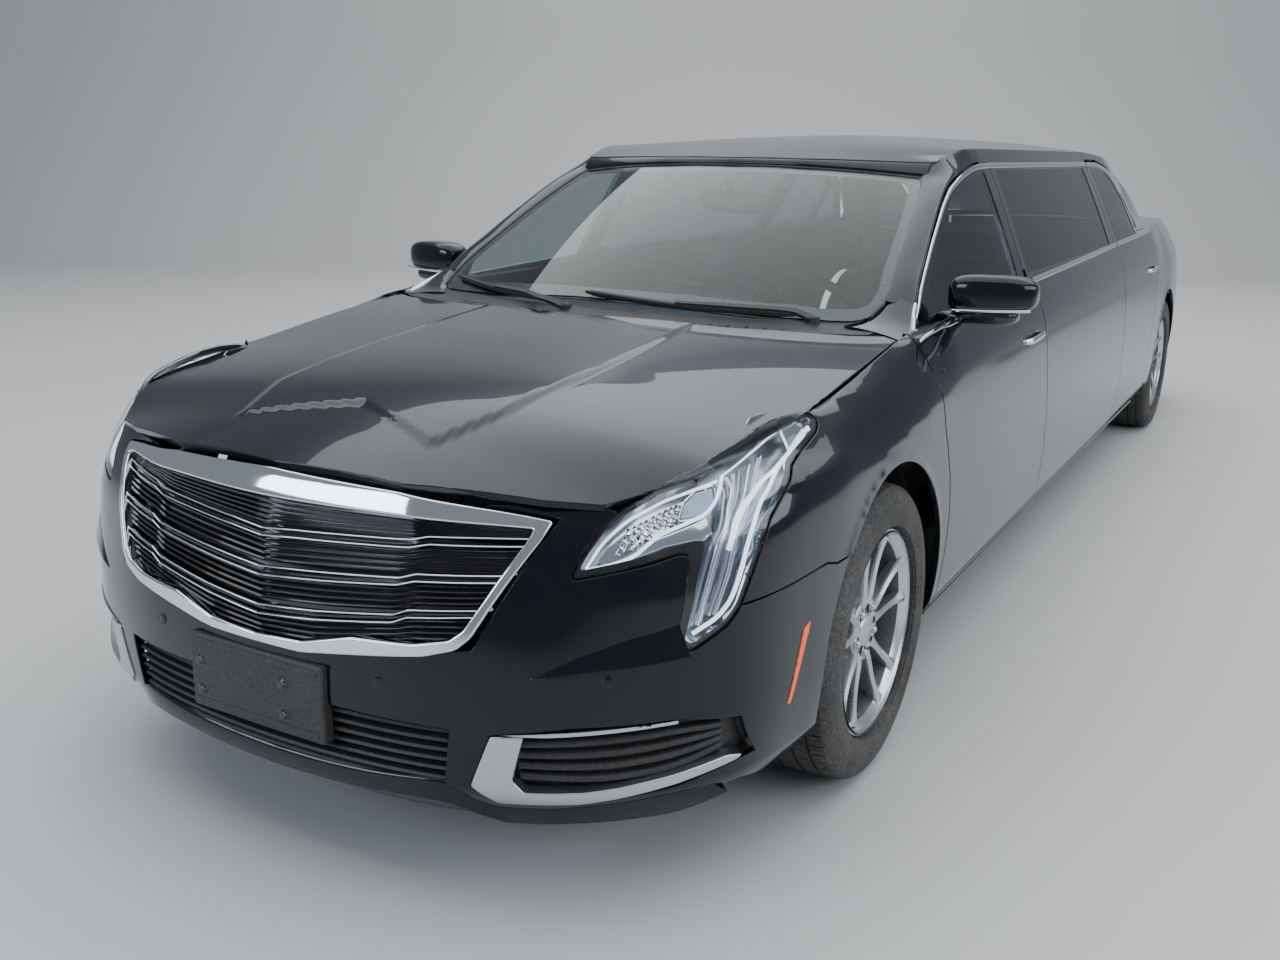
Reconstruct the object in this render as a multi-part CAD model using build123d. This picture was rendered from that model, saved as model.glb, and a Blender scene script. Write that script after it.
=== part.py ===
"""Stretched limousine sedan, built as separate sub-components.

Millimetres. +Z is up, the car faces -Y and its own left is +X.
Lengths along the car are first given from the front axle; YC moves them to the middle of the length.
"""
from build123d import *
import math
import os

os.makedirs("parts", exist_ok=True)

# Main sizes
YC = 2360.0
WB = 4490.0
WHEEL_Z = 348.0
TYRE_R = 348.0
TRACK_X = 790.0
ARCH_R = 402.0
GLASS = 6.0

# Skin of the body side: one row for each station along the car
# y, half width, sill z, sill inset, lower z, lower inset, widest z, shoulder z, shoulder inset, top z, top inset
SIDE = [
    (-700, 858, 210, 75, 300, 12, 480, 715, 15, 835, 88),
    (-450, 912, 210, 78, 305, 14, 520, 760, 14, 884, 100),
    (-100, 926, 200, 80, 300, 20, 560, 790, 12, 922, 116),
    (200, 926, 200, 80, 300, 20, 560, 830, 12, 972, 120),
    (345, 926, 200, 80, 300, 20, 560, 845, 14, 990, 110),
    (560, 925, 200, 80, 300, 20, 560, 850, 16, 1000, 78),
    (1500, 923, 200, 80, 300, 20, 560, 860, 16, 1030, 76),
    (3100, 923, 200, 80, 300, 20, 560, 870, 16, 1060, 76),
    (4000, 925, 200, 80, 300, 20, 560, 885, 16, 1078, 76),
    (4490, 926, 200, 80, 300, 20, 560, 900, 16, 1088, 84),
    (5000, 918, 205, 80, 300, 20, 560, 900, 16, 1092, 120),
    (5300, 896, 210, 80, 300, 20, 560, 900, 16, 1080, 130),
    (5500, 838, 220, 80, 300, 20, 560, 900, 16, 1060, 120),
]
SIDE_KEYS = ("y", "w", "zb", "ib", "zl", "il", "zm", "zh", "ih", "zt", "it")

# Plan of the nose, from the middle to the left wheel arch: x, y, outward angle in degrees
NOSE = [(0, -1035, -90), (300, -1012, -81), (570, -930, -66), (760, -800, -46),
        (868, -655, -24), (912, -450, -7), (926, -100, 0)]
# Inset of the nose skin at each height, one number for each point of the plan
NOSE_Z = [
    (190, (78, 75, 73, 76, 80, 84, 86)),
    (285, (8, 8, 8, 10, 13, 16, 22)),
    (430, (0, 0, 0, 0, 1, 3, 8)),
    (640, (18, 22, 28, 12, 6, 4, 1)),
    (740, (42, 50, 62, 40, 18, 10, 6)),
    (800, (62, 70, 105, 76, 50, 28, 14)),
    (850, (100, 100, 140, 110, 92, 80, 60)),
    (905, (140, 140, 170, 150, 130, 120, 118)),
]
# Plan of the tail, the same way
TAIL = [(0, 5755, 90), (350, 5735, 82), (620, 5670, 70), (780, 5570, 50),
        (865, 5420, 26), (905, 5200, 8), (926, 4900, 0)]
TAIL_Z = [(z, (i,) * 7) for z, i in ((200, 80), (290, 10), (450, 0), (640, 22), (700, 40), (900, 52), (1056, 80))]

# Hood, roof and trunk lid: y, half width, edge z, middle z
HOOD = [(-990, 600, 762, 822), (-800, 680, 800, 878), (-600, 785, 862, 922),
        (-260, 814, 905, 962), (90, 806, 955, 998), (345, 802, 985, 1020)]
ROOF = [(1020, 650, 1318, 1406), (1180, 664, 1352, 1430), (1330, 678, 1384, 1452), (1480, 700, 1396, 1466),
        (1600, 706, 1399, 1474), (2200, 706, 1403, 1490), (3200, 706, 1401, 1490), (3450, 702, 1396, 1483),
        (3800, 684, 1374, 1470), (4260, 655, 1322, 1428)]
DECK = [(4930, 640, 1082, 1116), (5250, 650, 1072, 1106), (5560, 640, 1050, 1086), (5700, 600, 1030, 1068)]


def at(table, keys, y):
    """Row of a table at any y, by straight interpolation."""
    if y <= table[0][0]:
        return dict(zip(keys, table[0]))
    for low, high in zip(table, table[1:]):
        if y <= high[0]:
            t = (y - low[0]) / (high[0] - low[0])
            return dict(zip(keys, [a + (b - a) * t for a, b in zip(low, high)]))
    return dict(zip(keys, table[-1]))


def side_at(y):
    row = at(SIDE, SIDE_KEYS, y)
    row["y"] = y
    return row


def line(a, b):
    return Edge.make_line(a, b)


def arc(a, b, c):
    return Edge.make_three_point_arc(a, b, c)


def side_wire(y, thick, z_low=None, top_thick=None):
    """Closed transverse section of the left body wall."""
    r = side_at(y)
    w = r["w"]
    inner = w - thick
    tin = w - r["it"] - (top_thick or 60)
    a = (w - r["ib"], y, r["zb"])
    b = (w - r["il"], y, r["zl"])
    c = (w, y, r["zm"])
    d = (w - r["ih"], y, r["zh"])
    e = (w - r["it"], y, r["zt"])
    f = (min(inner, tin), y, r["zt"])
    g = (min(inner, tin), y, r["zb"])
    em = ((d[0] + e[0]) / 2 + 9, y, (d[2] + e[2]) / 2 + 3)
    return Wire([line(a, b), arc(b, c, d), arc(d, em, e), line(e, f), line(f, g), line(g, a)])


def skin_wire(y, thick, top):
    """Closed transverse section of a thin left panel, with a top that runs inward by `top`."""
    r = side_at(y)
    w, zt = r["w"], r["zt"]
    a = (w - r["ib"], y, r["zb"])
    b = (w - r["il"], y, r["zl"])
    c = (w, y, r["zm"])
    d = (w - r["ih"], y, r["zh"])
    e = (w - r["it"], y, zt)
    em = ((d[0] + e[0]) / 2 + 9, y, (d[2] + e[2]) / 2 + 3)
    f = (e[0] - top, y, zt + top * 0.06)
    g = (f[0], y, f[2] - 24)
    h = (e[0] - 8, y, zt - 26)
    d2, c2, b2, a2 = [(p[0] - thick, y, p[2]) for p in (d, c, b, a)]
    return Wire([line(a, b), arc(b, c, d), arc(d, em, e), line(e, f), line(f, g), line(g, h), line(h, d2),
                 arc(d2, c2, b2), line(b2, a2), line(a2, a)])


def skin_wall(y0, y1, thick, top):
    ys = [y0] + [r[0] for r in SIDE if y0 + 20 < r[0] < y1 - 20] + [y1]
    return Solid.make_loft([skin_wire(y, thick, top) for y in ys], ruled=True)


def side_wall(y0, y1, thick, top_thick=60):
    """Left body wall between two stations."""
    ys = [y0] + [r[0] for r in SIDE if y0 + 20 < r[0] < y1 - 20] + [y1]
    return Solid.make_loft([side_wire(y, thick, top_thick=top_thick) for y in ys], ruled=True)


def prism_x(points, x0, x1):
    """Outline in y and z, carried along X."""
    plane = Plane(origin=(x0, 0, 0), x_dir=(0, 1, 0), z_dir=(1, 0, 0))
    return extrude(plane * make_face(Polyline(*points, close=True)), amount=x1 - x0)


def prism_y(points, y0, y1):
    """Outline in x and z, carried along Y."""
    plane = Plane(origin=(0, y1, 0), x_dir=(1, 0, 0), z_dir=(0, -1, 0))
    return extrude(plane * make_face(Polyline(*points, close=True)), amount=y1 - y0)


def prism_z(points, z0, z1):
    """Outline in x and y, carried along Z."""
    return extrude(Plane(origin=(0, 0, z0)) * make_face(Polyline(*points, close=True)), amount=z1 - z0)


LAMP_TURN = math.radians(50)


def lamp_u(x, y):
    return x * math.cos(LAMP_TURN) + y * math.sin(LAMP_TURN)


def prism_lamp(points, depth0, depth1):
    """Outline in u and z, seen square from the front left corner."""
    d = (math.sin(LAMP_TURN), -math.cos(LAMP_TURN), 0)
    origin = (d[0] * depth0, d[1] * depth0, 0)
    plane = Plane(origin=origin, x_dir=(math.cos(LAMP_TURN), math.sin(LAMP_TURN), 0), z_dir=d)
    return extrude(plane * make_face(Polyline(*points, close=True)), amount=depth1 - depth0)


def block(x0, x1, y0, y1, z0, z1):
    return Pos((x0 + x1) / 2, (y0 + y1) / 2, (z0 + z1) / 2) * Box(x1 - x0, y1 - y0, z1 - z0)


def drum(x0, x1, y, z, r):
    """Cylinder along X."""
    return Pos((x0 + x1) / 2, y, z) * Rot(0, 90, 0) * Cylinder(r, x1 - x0)


def bar(a, b, r):
    """Round bar between two points."""
    va, vb = Vector(*a), Vector(*b)
    plane = Plane(origin=va, z_dir=(vb - va).normalized())
    return extrude(plane * Circle(r), amount=(vb - va).length)


def other(shape):
    """The right-hand twin."""
    return mirror(shape, about=Plane.YZ)


def both(shape):
    return Compound(children=list(shape.solids()) + list(other(shape).solids()))


def pieces(*shapes):
    found = []
    for shape in shapes:
        found += list(shape.solids())
    return Compound(children=found)


def skin_points(plan, insets, more=0):
    pts = []
    for (x, y, deg), inset in zip(plan, insets):
        t = math.radians(deg)
        d = inset + more
        pts.append((x - d * math.cos(t), y - d * math.sin(t)))
    return pts


def plan_wire(plan, insets, out, thick, z):
    """Closed horizontal band of the nose or tail skin, left and right."""
    outer = skin_points(plan, insets, -out)
    inner = skin_points(plan, insets, thick - out)
    outer[0] = (0, outer[0][1])
    inner[0] = (0, inner[0][1])
    edges = []
    for pts, flip in ((outer, False), (inner, True)):
        full = [(-x, y) for x, y in reversed(pts[1:])] + pts
        if flip:
            full = full[::-1]
        p3 = [(x, y, z) for x, y in full]
        for i in range(0, len(p3) - 1, 2):
            edges.append(arc(p3[i], p3[i + 1], p3[i + 2]))
        if not flip:
            edges.append(line(p3[-1], (inner[-1][0], inner[-1][1], z)))
        else:
            edges.append(line(p3[-1], (-outer[-1][0], outer[-1][1], z)))
    return Wire(edges)


def band(plan, levels, thick, out=0.0):
    """Skin of the nose or tail, from `out` proud of it to `thick` further in."""
    return Solid.make_loft([plan_wire(plan, i, out, thick, z) for z, i in levels], ruled=True)


def crown_wire(y, half, edge, middle, thick):
    a, b, c = (-half, y, edge), (0, y, middle), (half, y, edge)
    e, f, g = (half, y, edge - thick), (0, y, middle - thick), (-half, y, edge - thick)
    return Wire([arc(a, b, c), line(c, e), arc(e, f, g), line(g, a)])


def crown(table, thick):
    return Solid.make_loft([crown_wire(*row, thick) for row in table], ruled=True)


def belt(y):
    r = side_at(y)
    return r["w"] - r["it"], r["zt"]


ROOF_EDGE = 1392.0
ROOF_EDGE_X = 706.0


def slab_wire(y, thick, out=0.0):
    """Section of the side of the greenhouse, leaning in from the belt to the roof."""
    x0, z0 = belt(y)
    x0 -= 4
    z0 -= 14
    x1, z1 = ROOF_EDGE_X, ROOF_EDGE
    a = (x0 + out, y, z0)
    m = ((x0 + x1) / 2 + 10 + out, y, (z0 + z1) / 2 + 4)
    b = (x1 + out, y, z1)
    return Wire([arc(a, m, b), line(b, (b[0] - thick, y, z1)),
                 arc((b[0] - thick, y, z1), (m[0] - thick, y, m[2]), (a[0] - thick, y, z0)),
                 line((a[0] - thick, y, z0), a)])


def slab(y0, y1, thick, out=0.0):
    ys = [y0] + [r[0] for r in SIDE if y0 + 20 < r[0] < y1 - 20] + [y1]
    return Solid.make_loft([slab_wire(y, thick, out) for y in ys], ruled=True)


# Seam round the moving panels, and the hood's pivot as y and z
GAP = 6.0
HOOD_PIVOT = (350.0, 979.0)
HOOD_PIN_R = 5.0

# Outlines in y and z
FRONT_DOOR_LOW = [(448, 290), (440, 540), (420, 640), (372, 760), (352, 850), (352, 1010), (1500, 1060),
                  (1506, 960), (1600, 290)]
REAR_DOOR_LOW = [(3080, 290), (3080, 1100), (4060, 1110), (4050, 900), (4020, 760), (3960, 640),
                 (3935, 500), (3930, 290)]
FRONT_FRAME = [(560, 990), (600, 1052), (1226, 1362), (1330, 1366), (1530, 1366), (1460, 1060), (1460, 1000)]
FRONT_GLASS = [(690, 1000), (705, 1065), (1246, 1334), (1380, 1344), (1458, 1344), (1395, 1030), (1395, 1010)]
REAR_FRAME = [(3086, 1040), (3164, 1366), (3420, 1366), (3610, 1346), (3856, 1202), (4026, 1090), (4026, 1060)]
REAR_GLASS = [(3150, 1050), (3220, 1344), (3400, 1344), (3556, 1322), (3656, 1268), (3700, 1080), (3700, 1060)]
CENTRE_GLASS = [(1530, 1050), (1600, 1346), (3070, 1346), (2998, 1075), (2998, 1060)]
QUARTER_GLASS = [(3745, 1090), (3712, 1262), (3800, 1205), (3960, 1106), (3960, 1090)]
A_PILLAR = [(414, 1006), (440, 1022), (1110, 1377), (1300, 1391), (1300, 1384), (1238, 1380), (594, 1062),
            (512, 1006)]
C_PILLAR = [(3430, 1391), (3650, 1368), (3900, 1212), (4066, 1110), (4066, 1080), (5010, 1100), (4700, 1220),
            (4350, 1345), (4200, 1391)]


# Left half of the hood outline in x and y, from the middle of its front edge to its rear corner
HOOD_EDGE = [(0, -953), (295, -928), (545, -846), (640, -800), (750, -668), (792, -500), (806, -260),
             (804, 90), (799, 300), (762, 316), (690, 268), (400, 168), (0, 120)]
TRUNK_EDGE = [(0, 4940), (640, 4908), (664, 5250), (650, 5540), (600, 5590), (350, 5652), (0, 5674)]
# Headlamp outline in u and z
LAMP = [(-269, 684), (-186, 779), (-19, 865), (100, 893), (177, 902), (324, 894), (293, 862), (134, 822),
        (66, 760), (42, 669), (31, 619), (-20, 585), (-76, 564), (-81, 593), (-56, 726), (-75, 733),
        (-167, 707)]
# Grille, half outlines in x and z
GRILLE_OUT = [(0, 822), (295, 812), (570, 776), (465, 553), (231, 512), (0, 494)]
GRILLE_IN = [(0, 775), (300, 771), (550, 757), (449, 569), (231, 529), (0, 512)]
FOG_OUT = [(503, 392), (462, 286), (502, 249), (671, 262), (780, 282), (872, 316), (862, 402), (787, 420),
           (640, 414)]
FOG_IN = [(524, 380), (488, 296), (520, 276), (671, 286), (770, 304), (850, 334), (846, 388), (786, 400),
          (640, 394)]
INTAKE = [(0, 404), (430, 396), (410, 262), (0, 252)]


def grow(points, by):
    """Outline moved outward by a distance, corners kept sharp."""
    n = len(points)
    area = sum(points[i][0] * points[(i + 1) % n][1] - points[(i + 1) % n][0] * points[i][1] for i in range(n))
    sign = 1.0 if area > 0 else -1.0
    moved = []
    for i in range(n):
        p, q, r = points[i - 1], points[i], points[(i + 1) % n]
        la = math.hypot(q[0] - p[0], q[1] - p[1])
        lb = math.hypot(r[0] - q[0], r[1] - q[1])
        na = (sign * (q[1] - p[1]) / la, -sign * (q[0] - p[0]) / la)
        nb = (sign * (r[1] - q[1]) / lb, -sign * (r[0] - q[0]) / lb)
        k = max(1 + na[0] * nb[0] + na[1] * nb[1], 0.3)
        moved.append((q[0] + by * (na[0] + nb[0]) / k, q[1] + by * (na[1] + nb[1]) / k))
    return moved


def grown_z(points, by, z0, z1):
    return prism_z(grow(points, by), z0, z1)


def grown_y(points, by, y0, y1):
    return prism_y(grow(points, by), y0, y1)


def grown_x(points, by, x0, x1):
    return prism_x(grow(points, by), x0, x1)


def grown_lamp(points, by, depth0, depth1):
    return prism_lamp(grow(points, by), depth0, depth1)


def largest(shape):
    return max(shape.solids(), key=lambda solid: solid.volume)


def tube_part(radius_in, radius_out, low, high, a0, a1, wedge_r=400):
    """Part of a ring round Z, between two angles in degrees."""
    ring = Pos(0, 0, (low + high) / 2) * (Cylinder(radius_out, high - low) - Cylinder(radius_in, high - low + 2))
    count = 8
    pts = [(0, 0)]
    for i in range(count + 1):
        a = math.radians(a0 + (a1 - a0) * i / count)
        pts.append((wedge_r * math.cos(a), wedge_r * math.sin(a)))
    return ring & prism_z(pts, low - 1, high + 1)


HINGE_X = 927.0
STRAP = (70.0, 82.0)
STRAP_FIT = 0.3
# Front edge of each door at the hinge, then the heights of its two hinge straps
DOOR_HINGES = ((352.0, ((800, 822), (880, 902))), (3080.0, ((420, 442), (800, 822))))


def straps(edge_y, levels, turn, extra):
    """Curved hinge straps of one left door; `extra` widens them all round for the slot they run in."""
    made = None
    for low, high in levels:
        ring = tube_part(STRAP[0] - extra, STRAP[1] + extra, low - extra, high + extra, turn[0], turn[1])
        ring = Pos(HINGE_X, edge_y, 0) * ring
        made = ring if made is None else made + ring
    return made


LID_PIVOT = (4903.0, 1118.0)


def lid_arm(radius_in, radius_out, x0, x1, a0, a1):
    """Part of a ring round the trunk lid's pivot. Angles run from straight back, upward."""
    ring = tube_part(radius_in, radius_out, x0, x1, a0, a1)
    plane = Plane(origin=(0, LID_PIVOT[0], LID_PIVOT[1]), x_dir=(0, 1, 0), z_dir=(1, 0, 0))
    return plane * ring


def full(half):
    """Whole outline from the left half, whose first and last points lie on the middle line."""
    return half + [(-x, y) for x, y in reversed(half[1:-1])]


def arch(y, r, x0=400, x1=1100):
    """Wheel opening, a little taller than it is long."""
    plane = Plane(origin=(x0, y, WHEEL_Z), x_dir=(0, 1, 0), z_dir=(1, 0, 0))
    return extrude(plane * Ellipse(r - 20, r), amount=x1 - x0)


def door_low(wall, outline):
    """Lower part of a door. Its inner half stops short at the rear, so that it can swing out."""
    front = min(y for y, z in outline)
    short = [(y if y < front + 110 else y - 16, z) for y, z in outline]
    return (wall & prism_x(outline, 858, 1100)) + (wall & prism_x(short, 500, 859))


def build_doors():
    made = {}
    wall = side_wall(352, 1640, 150)
    low = door_low(wall, FRONT_DOOR_LOW)
    frame = slab(420, 1640, 24) & (prism_x(FRONT_FRAME, 500, 1100) - prism_x(FRONT_GLASS, 500, 1100))
    handle = block(896, 938, 1250, 1440, 862, 890)
    foot = block(780, 905, 600, 684, 996, 1018)
    mirror_head = prism_z([(868, 690), (868, 560), (1000, 610), (1045, 700), (1040, 780), (880, 800)], 1002, 1128)
    low = low - straps(*DOOR_HINGES[0], (80, 190), STRAP_FIT)
    made["front_door_left"] = low + frame + handle + foot + mirror_head
    glass = slab(420, 1640, GLASS, -12) & prism_x(FRONT_GLASS, 500, 1100)
    made["front_door_glass_left"] = glass - low - frame
    wall = side_wall(3080, 4100, 150)
    low = door_low(wall, REAR_DOOR_LOW)
    frame = slab(3050, 4100, 24) & (prism_x(REAR_FRAME, 500, 1100) - prism_x(REAR_GLASS, 500, 1100)
                                   - prism_x(QUARTER_GLASS, 500, 1100))
    handle = block(896, 938, 3760, 3950, 892, 920)
    low = low - straps(*DOOR_HINGES[1], (80, 190), STRAP_FIT)
    made["rear_door_left"] = low + frame + handle
    glass = slab(3050, 4100, GLASS, -12) & (prism_x(REAR_GLASS, 500, 1100) + prism_x(QUARTER_GLASS, 500, 1100))
    made["rear_door_glass_left"] = glass - low - frame
    for name in list(made):
        made[name.replace("left", "right")] = other(made[name])
    front = straps(*DOOR_HINGES[0], (100, 190), 0) - block(800, 1000, 300, 345, 700, 1000)
    rear = straps(*DOOR_HINGES[1], (100, 190), 0) - block(800, 1000, 3000, 3074, 300, 1000)
    made["door_hinges"] = both(pieces(front, rear))
    return made


def build_body():
    made = {}
    hood_cut = grown_z(full(HOOD_EDGE), GAP, 700, 1100)
    lamp_cut = grown_lamp(LAMP, 4, 500, 1600)
    lamp_rear = band(NOSE, NOSE_Z, 46, -10) & grown_lamp(LAMP, 4, 500, 1600)
    bumper_zone = prism_x([(-1200, 100), (-300, 100), (-300, 626), (-560, 626), (-660, 647), (-1200, 647)],
                          300, 1100)
    # Front fenders
    wing = skin_wall(-640, 446, 12, 2)
    wing = wing - hood_cut - lamp_cut - bumper_zone - arch(0, ARCH_R) - grown_x(FRONT_DOOR_LOW, GAP, 400, 1100)
    wing = wing - prism_x([(345, 900), (500, 900), (500, 1100), (345, 1100)], 400, 1100)
    made["front_fenders"] = both(wing)
    # Nose
    nose = band(NOSE, NOSE_Z, 42)
    zone = prism_x([(-1200, 180), (-300, 180), (-300, 620), (-560, 620), (-660, 640), (-760, 800), (-1200, 800)],
                   -1100, 1100)
    bumper = nose & zone
    bumper = bumper - grown_y(full(GRILLE_OUT), 2, -1200, -700) - hood_cut
    bumper = bumper - lamp_cut - other(lamp_cut)
    fog_cut = grown_y(FOG_OUT, 1, -1200, -560)
    intake_cut = grown_y(full(INTAKE), 1, -1200, -860)
    bumper = bumper - fog_cut - other(fog_cut) - intake_cut
    bumper = bumper - arch(0, ARCH_R, -1100, 1100)
    bumper = largest(bumper)
    made["front_bumper"] = bumper
    ring = grown_y(full(GRILLE_OUT), 0, -1200, -700) - grown_y(full(GRILLE_IN), 0, -1200, -700)
    seat = grown_y(full(GRILLE_OUT), 2, -1200, -700) - grown_y(full(GRILLE_IN), 0, -1200, -700)
    surround = (band(NOSE, NOSE_Z, 48, 6) & ring) + (band(NOSE, NOSE_Z, 30, -12) & seat)
    surround = surround - grown_z(full(HOOD_EDGE), GAP, 700, 1100)
    made["grille_surround"] = largest(surround)
    inside = grown_y(full(GRILLE_IN), -1, -1200, -700)
    back = band(NOSE, NOSE_Z, 8, -34) & inside
    slats = band(NOSE, NOSE_Z, 26, -10) & inside
    slat_boxes = [block(-600, 600, -1200, -700, z, z + 8) for z in range(532, 760, 26)]
    cut = slat_boxes[0]
    for b in slat_boxes[1:]:
        cut = cut + b
    made["grille_bars"] = pieces(back + (slats & cut))
    lamp = band(NOSE, NOSE_Z, 60) & prism_lamp(LAMP, 500, 1600)
    lamp = largest((lamp + lamp_rear) - hood_cut)
    made["headlamps"] = both(lamp)
    fog_ring = grown_y(FOG_OUT, 0, -1200, -560) - grown_y(FOG_IN, 0, -1200, -560)
    made["fog_bezels"] = both(band(NOSE, NOSE_Z, 34, 4) & fog_ring)
    fog_back = band(NOSE, NOSE_Z, 8, -30) & grown_y(FOG_OUT, 0, -1200, -560)
    fog_slats = band(NOSE, NOSE_Z, 20, -12) & grown_y(FOG_IN, -1, -1200, -560)
    bars = None
    for z in (300, 322, 344, 366):
        b = block(400, 1000, -1200, -500, z, z + 6)
        bars = b if bars is None else bars + b
    fog = fog_back + (fog_slats & bars)
    mid = band(NOSE, NOSE_Z, 8, -30) & grown_y(full(INTAKE), 0, -1200, -860)
    mid_bars = band(NOSE, NOSE_Z, 26, -6) & grown_y(full(INTAKE), 0, -1200, -860)
    bars = None
    for z in (268, 292, 316, 340, 364, 386):
        b = block(-600, 600, -1200, -700, z, z + 8)
        bars = b if bars is None else bars + b
    made["lower_grilles"] = pieces(fog, other(fog), mid + (mid_bars & bars))
    plate = block(-178, 178, -1047, -1012, 320, 478) - bumper
    for solid in made["lower_grilles"].solids():
        plate = plate - solid
    made["plate_bracket"] = largest(plate)
    # Hood
    hood = crown(HOOD, 18) & prism_z(full(HOOD_EDGE), 600, 1200)
    ear = block(732, 746, 280, HOOD_PIVOT[0], 968, 984) + drum(732, 746, *HOOD_PIVOT, 11)
    bore = drum(700, 800, *HOOD_PIVOT, HOOD_PIN_R + RUN_FIT)
    hood = hood + ear - bore
    hood = hood + other(ear) - other(bore)
    made["hood"] = hood
    # Cowl
    cowl = [(0, 128), (400, 176), (690, 276), (727, 300), (727, 398), (712, 400), (560, 320),
            (300, 235), (0, 200)]
    pin = drum(720, 748, *HOOD_PIVOT, HOOD_PIN_R)
    made["cowl"] = prism_z(full(cowl), COWL_LOW, 988) + pin + other(pin)
    # Centre panels
    centre = side_wall(1500, 3100, 150)
    cut_front = prism_x([(1400, 100), (1606, 100), (1606, 290), (1512, 960), (1506, 1060), (1546, 1392),
                         (1400, 1392)], 400, 1100)
    cut_front = cut_front + prism_x([(1400, 1000), (1474, 1000), (1474, 1060), (1545, 1372), (1545, 1400),
                                     (1400, 1400)], 400, 1100)
    cut_rear = prism_x([(3074, 100), (3200, 100), (3200, 1500), (3152, 1386), (3074, 1060)], 400, 1100)
    centre = centre & prism_x([(1480, 284), (3120, 284), (3120, 1100), (1480, 1100)], 400, 1100)
    centre = centre - cut_front - cut_rear
    upper = slab(1440, 3180, 34) & prism_x([(1440, 1010), (1440, 1374), (3200, 1374), (3200, 1030)], 400, 1100)
    upper = upper - cut_front - cut_rear - prism_x(CENTRE_GLASS, 400, 1100) - crown(ROOF, 24)
    made["centre_panels"] = both(centre + upper)
    made["centre_glass"] = both((slab(1480, 3120, GLASS, -12) & prism_x(CENTRE_GLASS, 400, 1100)) - centre)
    # Quarter panels
    rear_door_gap = grown_x(REAR_DOOR_LOW, GAP, 860, 1100) + grown_x(REAR_DOOR_LOW, 14, 400, 861)
    rear_door_gap = rear_door_gap + grown_x(REAR_FRAME, 12, 400, 1100)
    trunk_cut = grown_z(full(TRUNK_EDGE), GAP, 900, 1200)
    tail_cut = prism_x([(5300, 655), (5900, 655), (5900, 985), (5360, 985)], 300, 1100)
    bumper_cut = prism_x([(4700, 100), (5900, 100), (5900, 660), (5150, 640), (4700, 640)], 300, 1100)
    quarter = skin_wall(3925, 5495, 42, 150)
    quarter = quarter - rear_door_gap - trunk_cut - tail_cut - bumper_cut - arch(WB, ARCH_R)
    pillar = slab(3420, 5010, 60) & prism_x(C_PILLAR, 400, 1100)
    pillar = pillar - rear_door_gap - trunk_cut - crown(ROOF, 24)
    made["quarter_panels"] = both(quarter + pillar)
    tail = band(TAIL, TAIL_Z, 42)
    rear = tail & prism_x([(4700, 190), (5900, 190), (5900, 650), (5150, 634), (4700, 634)], -1100, 1100)
    made["rear_bumper"] = pieces(rear - arch(WB, ARCH_R, -1100, 1100))
    lid = crown(DECK, 18) & prism_z(full(TRUNK_EDGE), 900, 1300)
    lid_back = band(TAIL, TAIL_Z, 36) & block(-600, 600, 5400, 5900, 664, 1056)
    arm = lid_arm(58, 70, 556, 572, -158, -32)
    arm = arm - crown(DECK, 400).moved(Location((0, 0, 0))) + (arm & crown(DECK, 400))
    made["trunk_lid"] = lid + lid_back + arm + other(arm)
    tail_lamp = band(TAIL, TAIL_Z, 50) & prism_x([(5306, 661), (5900, 661), (5900, 979), (5366, 979)], 606, 1100)
    made["tail_lamps"] = both(largest(tail_lamp))
    return made


def pane(half, base, top, bulge, count=8):
    """Curved window: base and top each give y in the middle and at the sides, then z the same way."""
    wires = []
    for i in range(count + 1):
        x = half * (2 * i / count - 1)
        t = (x / half) ** 2
        low = (base[0] + (base[1] - base[0]) * t, base[2] + (base[3] - base[2]) * t)
        high = (top[0] + (top[1] - top[0]) * t, top[2] + (top[3] - top[2]) * t)
        dy, dz = high[0] - low[0], high[1] - low[1]
        size = math.hypot(dy, dz)
        ny, nz = dz / size, -dy / size
        if nz > 0:
            ny, nz = -ny, -nz
        mid = ((low[0] + high[0]) / 2 - ny * bulge, (low[1] + high[1]) / 2 - nz * bulge)
        out = [low, mid, high]
        back = [(p[0] + ny * GLASS, p[1] + nz * GLASS) for p in reversed(out)]
        wires.append(Wire.make_polygon([(x, p[0], p[1]) for p in out + back], close=True))
    return Solid.make_loft(wires, ruled=True)


def build_top():
    made = {}
    roof = crown(ROOF, 24)
    made["roof"] = roof
    a_post = slab(390, 1250, 116) & prism_x(A_PILLAR, 400, 1100)
    a_post = a_post - roof + block(700, 746, 408, 470, 900, 1012) + block(700, 746, 345, 470, 900, 938)
    made["a_pillars"] = both(a_post)
    screen = pane(720, (205, 429, 1000, 1000), (1010, 1139, 1386, 1338), 14)
    for solid in (a_post, other(a_post), roof):
        screen = screen - solid
    made["windshield"] = largest(screen)
    return made


# Floor, bulkhead and rails
FLOOR_LOW, FLOOR_TOP = 186.0, 212.0
FLOOR_HALF = 780.0
FOOT_WELL_HALF = 440.0
WALL_FRONT, WALL_BACK = 310.0, 345.0
WALL_STEP = 775.0
WALL_TOP = 940.0
COWL_LOW = 950.0
SILL_TOP = 284.0
FLOOR_END = 4050.0
RAIL_IN, RAIL_OUT = 350.0, 430.0
RAIL_LOW, RAIL_TOP = 270.0, 330.0
RAIL_FRONT = -956.0
TAIL_RAIL_IN, TAIL_RAIL_OUT = 480.0, 540.0
TAIL_RAIL_LOW = 300.0
BOOT_LOW, BOOT_TOP = 330.0, 350.0
BOOT_WALL = 30.0
BOOT_HALF = 560.0
CABIN_HALF = 640.0
BOOT_END = 5556.0
PLATE = 20.0
# Wheelhouses
HOUSE_R = 410.0
HOUSE_WALL = 6.0
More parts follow.
